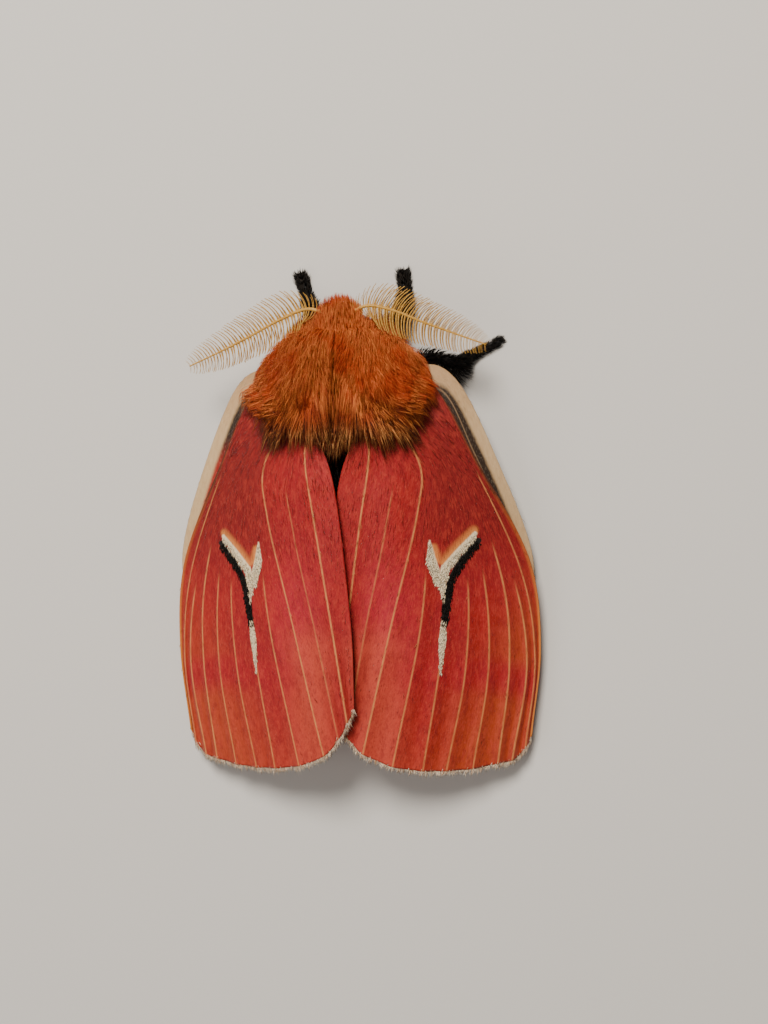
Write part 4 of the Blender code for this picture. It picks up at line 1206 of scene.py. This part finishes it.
def ramus_tree(material):
    """Geometry nodes that set a bowed, tapering branch on each point along an antenna."""
    tree = bpy.data.node_groups.new("antenna_comb", "GeometryNodeTree")
    tree.interface.new_socket(name="Geometry", in_out="INPUT", socket_type="NodeSocketGeometry")
    for name in COMB_INPUTS:
        tree.interface.new_socket(name=name, in_out="INPUT", socket_type="NodeSocketFloat")
    tree.interface.new_socket(name="Geometry", in_out="OUTPUT", socket_type="NodeSocketGeometry")

    def node(kind, settings, values):
        made = tree.nodes.new(kind)
        for key, setting in settings.items():
            setattr(made, key, setting)
        for key, value in values.items():
            if isinstance(value, bpy.types.NodeSocket):
                tree.links.new(value, made.inputs[key])
            else:
                made.inputs[key].default_value = value
        return made

    given = tree.nodes.new("NodeGroupInput").outputs
    bend = node("ShaderNodeCombineXYZ", {}, {0: 0.62, 1: 0.06, 2: given["Droop"]}).outputs[0]
    end = node("ShaderNodeCombineXYZ", {}, {0: 1.0, 1: given["Bow"], 2: given["Droop"]}).outputs[0]
    arc = node("GeometryNodeCurveQuadraticBezier", {}, {
        "Resolution": 7, "Start": (0, 0, 0), "Middle": bend, "End": end})
    along = node("GeometryNodeSplineParameter", {}, {}).outputs["Factor"]
    thin = node("ShaderNodeMapRange", {}, {0: along, 1: 0.0, 2: 1.0, 3: 1.0, 4: 0.5}).outputs[0]
    radius = node("ShaderNodeMath", {"operation": "MULTIPLY"}, {0: thin, 1: given["Thickness"]}).outputs[0]
    profile = node("GeometryNodeCurvePrimitiveCircle", {"mode": "RADIUS"}, {"Resolution": 5, "Radius": 1.0})
    sweep = node("GeometryNodeCurveToMesh", {}, {
        "Curve": arc.outputs[0], "Profile Curve": profile.outputs[0], "Fill Caps": True})
    if "Scale" in sweep.inputs:
        tree.links.new(radius, sweep.inputs["Scale"])
    else:
        sized = node("GeometryNodeSetCurveRadius", {}, {"Curve": arc.outputs[0], "Radius": radius})
        tree.links.new(sized.outputs[0], sweep.inputs["Curve"])
    across = node("GeometryNodeInputNamedAttribute", {"data_type": "FLOAT_VECTOR"}, {"Name": "across"})
    shaft = node("GeometryNodeInputNamedAttribute", {"data_type": "FLOAT_VECTOR"}, {"Name": "along"})
    size = node("GeometryNodeInputNamedAttribute", {"data_type": "FLOAT"}, {"Name": "size"})
    turn = node("FunctionNodeAxesToRotation", {"primary_axis": "X", "secondary_axis": "Y"},
                {"Primary Axis": across.outputs[0], "Secondary Axis": shaft.outputs[0]})
    branches = node("GeometryNodeInstanceOnPoints", {}, {
        "Points": given["Geometry"], "Instance": sweep.outputs[0], "Rotation": turn.outputs[0],
        "Scale": size.outputs[0]})
    real = node("GeometryNodeRealizeInstances", {}, {"Geometry": branches.outputs[0]})
    smooth = node("GeometryNodeSetShadeSmooth", {}, {"Geometry": real.outputs[0]})
    painted = node("GeometryNodeSetMaterial", {}, {"Geometry": smooth.outputs[0], "Material": material})
    out = tree.nodes.new("NodeGroupOutput")
    tree.links.new(painted.outputs[0], out.inputs[0])
    return tree


def set_input(modifier, name, value):
    """Sets a Geometry Nodes input by its socket's identifier."""
    for item in modifier.node_group.interface.items_tree:
        if item.item_type == "SOCKET" and item.in_out == "INPUT" and item.name == name:
            modifier[item.identifier] = value


def comb_points(course):
    """Where an antenna's branches stand, which way they and the shaft point there, and their lengths."""
    points, across, along, size = [], [], [], []
    tangent = unit(np.gradient(course, axis=0))
    last = ANTENNA_STEPS - 1
    for joint in range(RAMI):
        share = 0.06 + 0.935 * joint / (RAMI - 1)
        growth = 0.35 + 0.65 * float(smoothstep(0.05, 0.25, share))
        length = RAMUS_LENGTH * growth * math.sqrt(1.0 - 0.93 * share**2.4)
        for pair, (lift, step) in enumerate(RAMUS_PAIRS):
            row = min(int((share + step * 0.9 / RAMI) * last), last)
            ahead = tangent[row]
            level = unit(np.cross(ahead, (0.0, 0.0, 1.0)))
            up = np.cross(level, ahead)
            for turn in (-1, 1):
                points.append(course[row])
                across.append(unit(level * turn + up * (lift + 0.05 * draw.normal())))
                along.append(unit(ahead + 0.05 * draw.normal(0, 1, 3)))
                size.append(length * (0.92 if pair else 1.0) * draw.uniform(0.96, 1.04))
    return points, across, along, size


def add_comb(name, course, tree):
    """The branches of an antenna, grown on its joints by the tree and made one plain mesh."""
    points, across, along, size = comb_points(course)
    mesh = bpy.data.meshes.new(name)
    mesh.from_pydata((np.array(points) * MM).tolist(), [], [])
    for key, numbers in (("across", across), ("along", along)):
        layer = mesh.attributes.new(key, "FLOAT_VECTOR", "POINT")
        layer.data.foreach_set("vector", np.array(numbers, np.float32).ravel())
    layer = mesh.attributes.new("size", "FLOAT", "POINT")
    layer.data.foreach_set("value", np.array(size, np.float32) * MM)
    comb = bpy.data.objects.new(name, mesh)
    bpy.context.scene.collection.objects.link(comb)
    grow = comb.modifiers.new("comb", "NODES")
    grow.node_group = tree
    for key, value in COMB_INPUTS.items():
        set_input(grow, key, value)
    made = bpy.data.meshes.new_from_object(comb.evaluated_get(bpy.context.evaluated_depsgraph_get()))
    comb.modifiers.remove(grow)
    comb.data = made
    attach(comb, "root")


def add_antenna(part, shaft_material, tree):
    """A tapering shaft with two pairs of branches to each joint."""
    name = f"antenna_{part}"
    root, normal = on_ellipsoid(HEAD_CENTRE, HEAD_SIZE, ANTENNA_ROOT * (SIDES[part], 1, 1))
    course = even_points([root - normal * 0.3, root + normal * 0.5, *ANTENNAE[name]], ANTENNA_STEPS)
    share = np.linspace(0, 1, ANTENNA_STEPS)
    base = 1 + 0.9 * smoothstep(0.06, 0.0, share)
    joints = 1 + 0.08 * np.cos(share * math.tau * RAMI)
    rings = tube_points(course, (0.18 - 0.11 * share) * base * joints, 10)
    shaft = new_object(name + "_shaft", rings, tube_faces(ANTENNA_STEPS, 10), shaft_material)
    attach(shaft, "root")
    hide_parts(name)
    add_comb(name + "_comb", course, tree)


# Fringes and marks of raised scales

def add_fringe(part, wing, material):
    """The fringe of pale scales along a forewing's outer edge, in small bunches."""
    count = FRINGE_TUFTS
    place = draw.uniform(0.0, wing.last - 0.25, count)
    bunch = 0.5 + 0.5 * np.sin(place * FRINGE_BUNCHES + 2.0 * np.sin(place * 7.3))
    add_wing_hair(f"fringe_{part}", wing, place, 1.0 - draw.uniform(0.0, 0.012, count),
                  draw.uniform(0.35, 0.7, count) + 0.45 * bunch * draw.random(count),
                  draw.normal(0, 0.22, count) + 0.2 * np.cos(place * FRINGE_BUNCHES),
                  draw.uniform(-0.25, 0.35, count), draw.uniform(0.04, 0.075, count), material,
                  "cream_scales", base=0.0)


def add_nap(name, wing, nap, material, slot):
    """Short hair that lies over part of a wing's upper side, in the colours below it."""
    (low, high), end, count, lengths, widths, leans, lifts = nap
    place, share = draw.uniform(low, high, count * 4), draw.uniform(0.0, end, count * 4)
    spacing = np.linalg.norm(wing.plan(np.minimum(place + 0.1, wing.last), share)
                             - wing.plan(np.maximum(place - 0.1, 0.0), share), axis=1)
    chosen = draw.choice(count * 4, count, replace=False, p=spacing / spacing.sum())
    place, share = place[chosen], share[chosen]
    add_wing_hair(name, wing, place, share, draw.uniform(*lengths, count), draw.normal(*leans, count),
                  draw.uniform(*lifts, count), draw.uniform(*widths, count), material, slot, base=0.03,
                  lay=np.stack([place / wing.last, share], axis=1), vein_gap=wing.surface(place, share)[1],
                  vein_show=wing.shown(place, share), costa_gap=wing.costa_gap(place, share))


def spots_on(lines, count):
    """Random places in plan on tapered strokes, as many on each part as its area asks for."""
    parts = np.array([start + end for line in lines for start, end in zip(line, line[1:])])
    areas = np.hypot(*(parts[:, 3:5] - parts[:, 0:2]).T) * (parts[:, 2] + parts[:, 5])
    parts = parts[draw.choice(len(parts), count, p=areas / areas.sum())]
    share = draw.random(count)
    half = parts[:, 2] * (1 - share) + parts[:, 5] * share
    run = unit(parts[:, 3:5] - parts[:, 0:2])
    off = draw.uniform(-1, 1, count) * half * 0.95
    middle = parts[:, 0:2] * (1 - share)[:, None] + parts[:, 3:5] * share[:, None]
    return middle + np.stack([-run[:, 1], run[:, 0]], axis=1) * off[:, None]


def add_mark_scales(name, wing, lines, count, material, slot):
    """Raised scales over one colour of the forked mark, on the wing's nearest places to its strokes."""
    grid = np.meshgrid(np.linspace(3.5, 8.5, 120), np.linspace(0.3, 0.9, 160))
    place, share = (places.ravel() for places in grid)
    flat = wing.plan(place, share)
    nearest = np.array([((flat - spot) ** 2).sum(axis=1).argmin() for spot in spots_on(lines, count)])
    add_wing_hair(name, wing, place[nearest], share[nearest], draw.uniform(0.3, 0.55, count),
                  draw.uniform(-0.15, 0.5, count), draw.uniform(0.1, 0.35, count),
                  draw.uniform(0.09, 0.15, count), material, slot)


# Floor, light and camera

def add_floor():
    """A plain pale floor under the moth's feet."""
    finish = Finish("pale_floor", 0.9)
    finish.shader.inputs["Base Color"].default_value = srgb(214, 208, 200)
    mesh = bpy.data.meshes.new("floor")
    corners = [(x * FLOOR_REACH, y * FLOOR_REACH, 0) for x, y in ((-1, -1), (1, -1), (1, 1), (-1, 1))]
    mesh.from_pydata(corners, [], [(0, 1, 2, 3)])
    mesh.materials.append(finish.material)
    floor = bpy.data.objects.new("floor", mesh)
    bpy.context.scene.collection.objects.link(floor)


def add_light(name, place, size, power, colour):
    """A round, soft lamp that faces the moth."""
    data = bpy.data.lights.new(name, "AREA")
    data.shape = "DISK"
    data.size = size
    data.energy = power
    data.color = colour
    lamp = bpy.data.objects.new(name, data)
    lamp.location = place
    lamp.rotation_euler = (Vector(LIGHT_TARGET) - Vector(place)).to_track_quat("-Z", "Y").to_euler()
    bpy.context.scene.collection.objects.link(lamp)


def add_world():
    """A faint, warm light from all sides."""
    world = bpy.data.worlds.new("studio")
    world.use_nodes = True
    background = world.node_tree.nodes["Background"]
    background.inputs["Color"].default_value = (1, 0.98, 0.95, 1)
    background.inputs["Strength"].default_value = WORLD_STRENGTH
    bpy.context.scene.world = world


def add_camera():
    """The photograph's view: from above, rolled a little to the moth's right."""
    roll, twist = math.radians(CAMERA_ROLL), math.radians(CAMERA_TWIST)
    right = Vector((math.cos(roll), 0, -math.sin(roll)))
    back = Vector((math.sin(roll), 0, math.cos(roll)))
    up = Vector((0, 1, 0))
    across = right * math.cos(twist) + up * math.sin(twist)
    upright = up * math.cos(twist) - right * math.sin(twist)
    data = bpy.data.cameras.new("camera")
    data.lens = CAMERA_LENS
    data.sensor_width = 36.0
    data.clip_start = 0.005
    camera = bpy.data.objects.new("camera", data)
    turn = Matrix((across, upright, back)).transposed().to_4x4()
    camera.matrix_world = Matrix.Translation(Vector(CAMERA_PLACE) * MM) @ turn
    bpy.context.scene.collection.objects.link(camera)
    bpy.context.scene.camera = camera


def make_materials():
    return {
        "forewing": forewing_finish("red_scales_above", False),
        "forewing_under": forewing_finish("red_scales_below", True),
        "hindwing": hindwing_finish("cream_scales"),
        "fur": fur_finish("orange_fur", 0.0),
        # The layer below is darker: painted shade deep in the coat, with darker under-hair
        "under_fur": fur_finish("brown_under_fur_and_painted_shade", 1.0),
        "dark_hair": dark_hair_finish("black_hair"),
        "skin": skin_finish("body_skin"),
        "fringe": scale_finish("fringe_scales", (184, 134, 94), (250, 230, 198), (255, 246, 226)),
        "white": scale_finish("white_scales", (224, 196, 154), (240, 222, 184), (250, 238, 212)),
        "black": scale_finish("black_scales", (8, 6, 4), (20, 14, 9), (34, 24, 14)),
        "shaft": antenna_finish("ochre_shaft", (176, 124, 44), (206, 158, 74)),
        "comb": antenna_finish("tan_comb", (168, 118, 42), (204, 156, 72)),
        "eye": eye_finish("black_eye"),
    }


def add_wings(part, side, materials):
    """A forewing and a hindwing with their hair, the forewing's fringe and its forked mark."""
    hind_lines = HINDWING_LINES_LEFT if part == "left" else HINDWING_LINES
    fore = Wing(side, FOREWING_LINES, FOREWING_VEINS, FOREWING_ROOT_Y, 0.0, FOREWING_ROWS, FOREWING_PLEAT)
    hind = Wing(
        side, hind_lines, HINDWING_VEINS, HINDWING_ROOT_Y, HINDWING_DROP, HINDWING_ROWS, HINDWING_PLEAT)
    red, red_below, cream = materials["forewing"], materials["forewing_under"], materials["hindwing"]
    upper = add_membrane(f"wing_fore_{part}", fore, red, red_below)
    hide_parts(f"forewing_{part}")
    lower = add_membrane(f"wing_hind_{part}", hind, cream, cream)
    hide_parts(f"hindwing_{part}")
    add_fringe(part, fore, materials["fringe"])
    for name, nap in FOREWING_NAPS.items():
        add_nap(f"{name}_{part}", fore, nap, red, "red_scales")
    for name, nap in HINDWING_NAPS.items():
        add_nap(f"{name}_{part}", hind, nap, cream, "cream_scales")
    add_mark_scales(f"mark_white_{part}", fore, MARK_WHITE, 1500, materials["white"], "cream_scales")
    add_mark_scales(f"mark_black_{part}", fore, MARK_BLACK, 800, materials["black"], "black_coat")


def main():
    materials = make_materials()
    add_skin(materials["skin"])
    tree = ramus_tree(materials["comb"])
    for part, side in SIDES.items():
        add_wings(part, side, materials)
        add_eye(part, materials["eye"])
        add_antenna(part, materials["shaft"], tree)
    add_thorax_coat(materials["under_fur"], materials["fur"])
    add_stray_hair(materials["fur"])
    add_under_coat(materials["dark_hair"])
    add_head_coat(materials["fur"])
    add_collar(materials["fur"])
    add_centre_tuft(materials["fur"])
    add_leg_coat(materials["dark_hair"])
    add_abdomen_coat(materials["dark_hair"])
    add_claws(materials["dark_hair"])
    add_floor()
    for name, lamp in LIGHTS.items():
        add_light(name, *lamp)
    add_world()
    add_camera()


main()
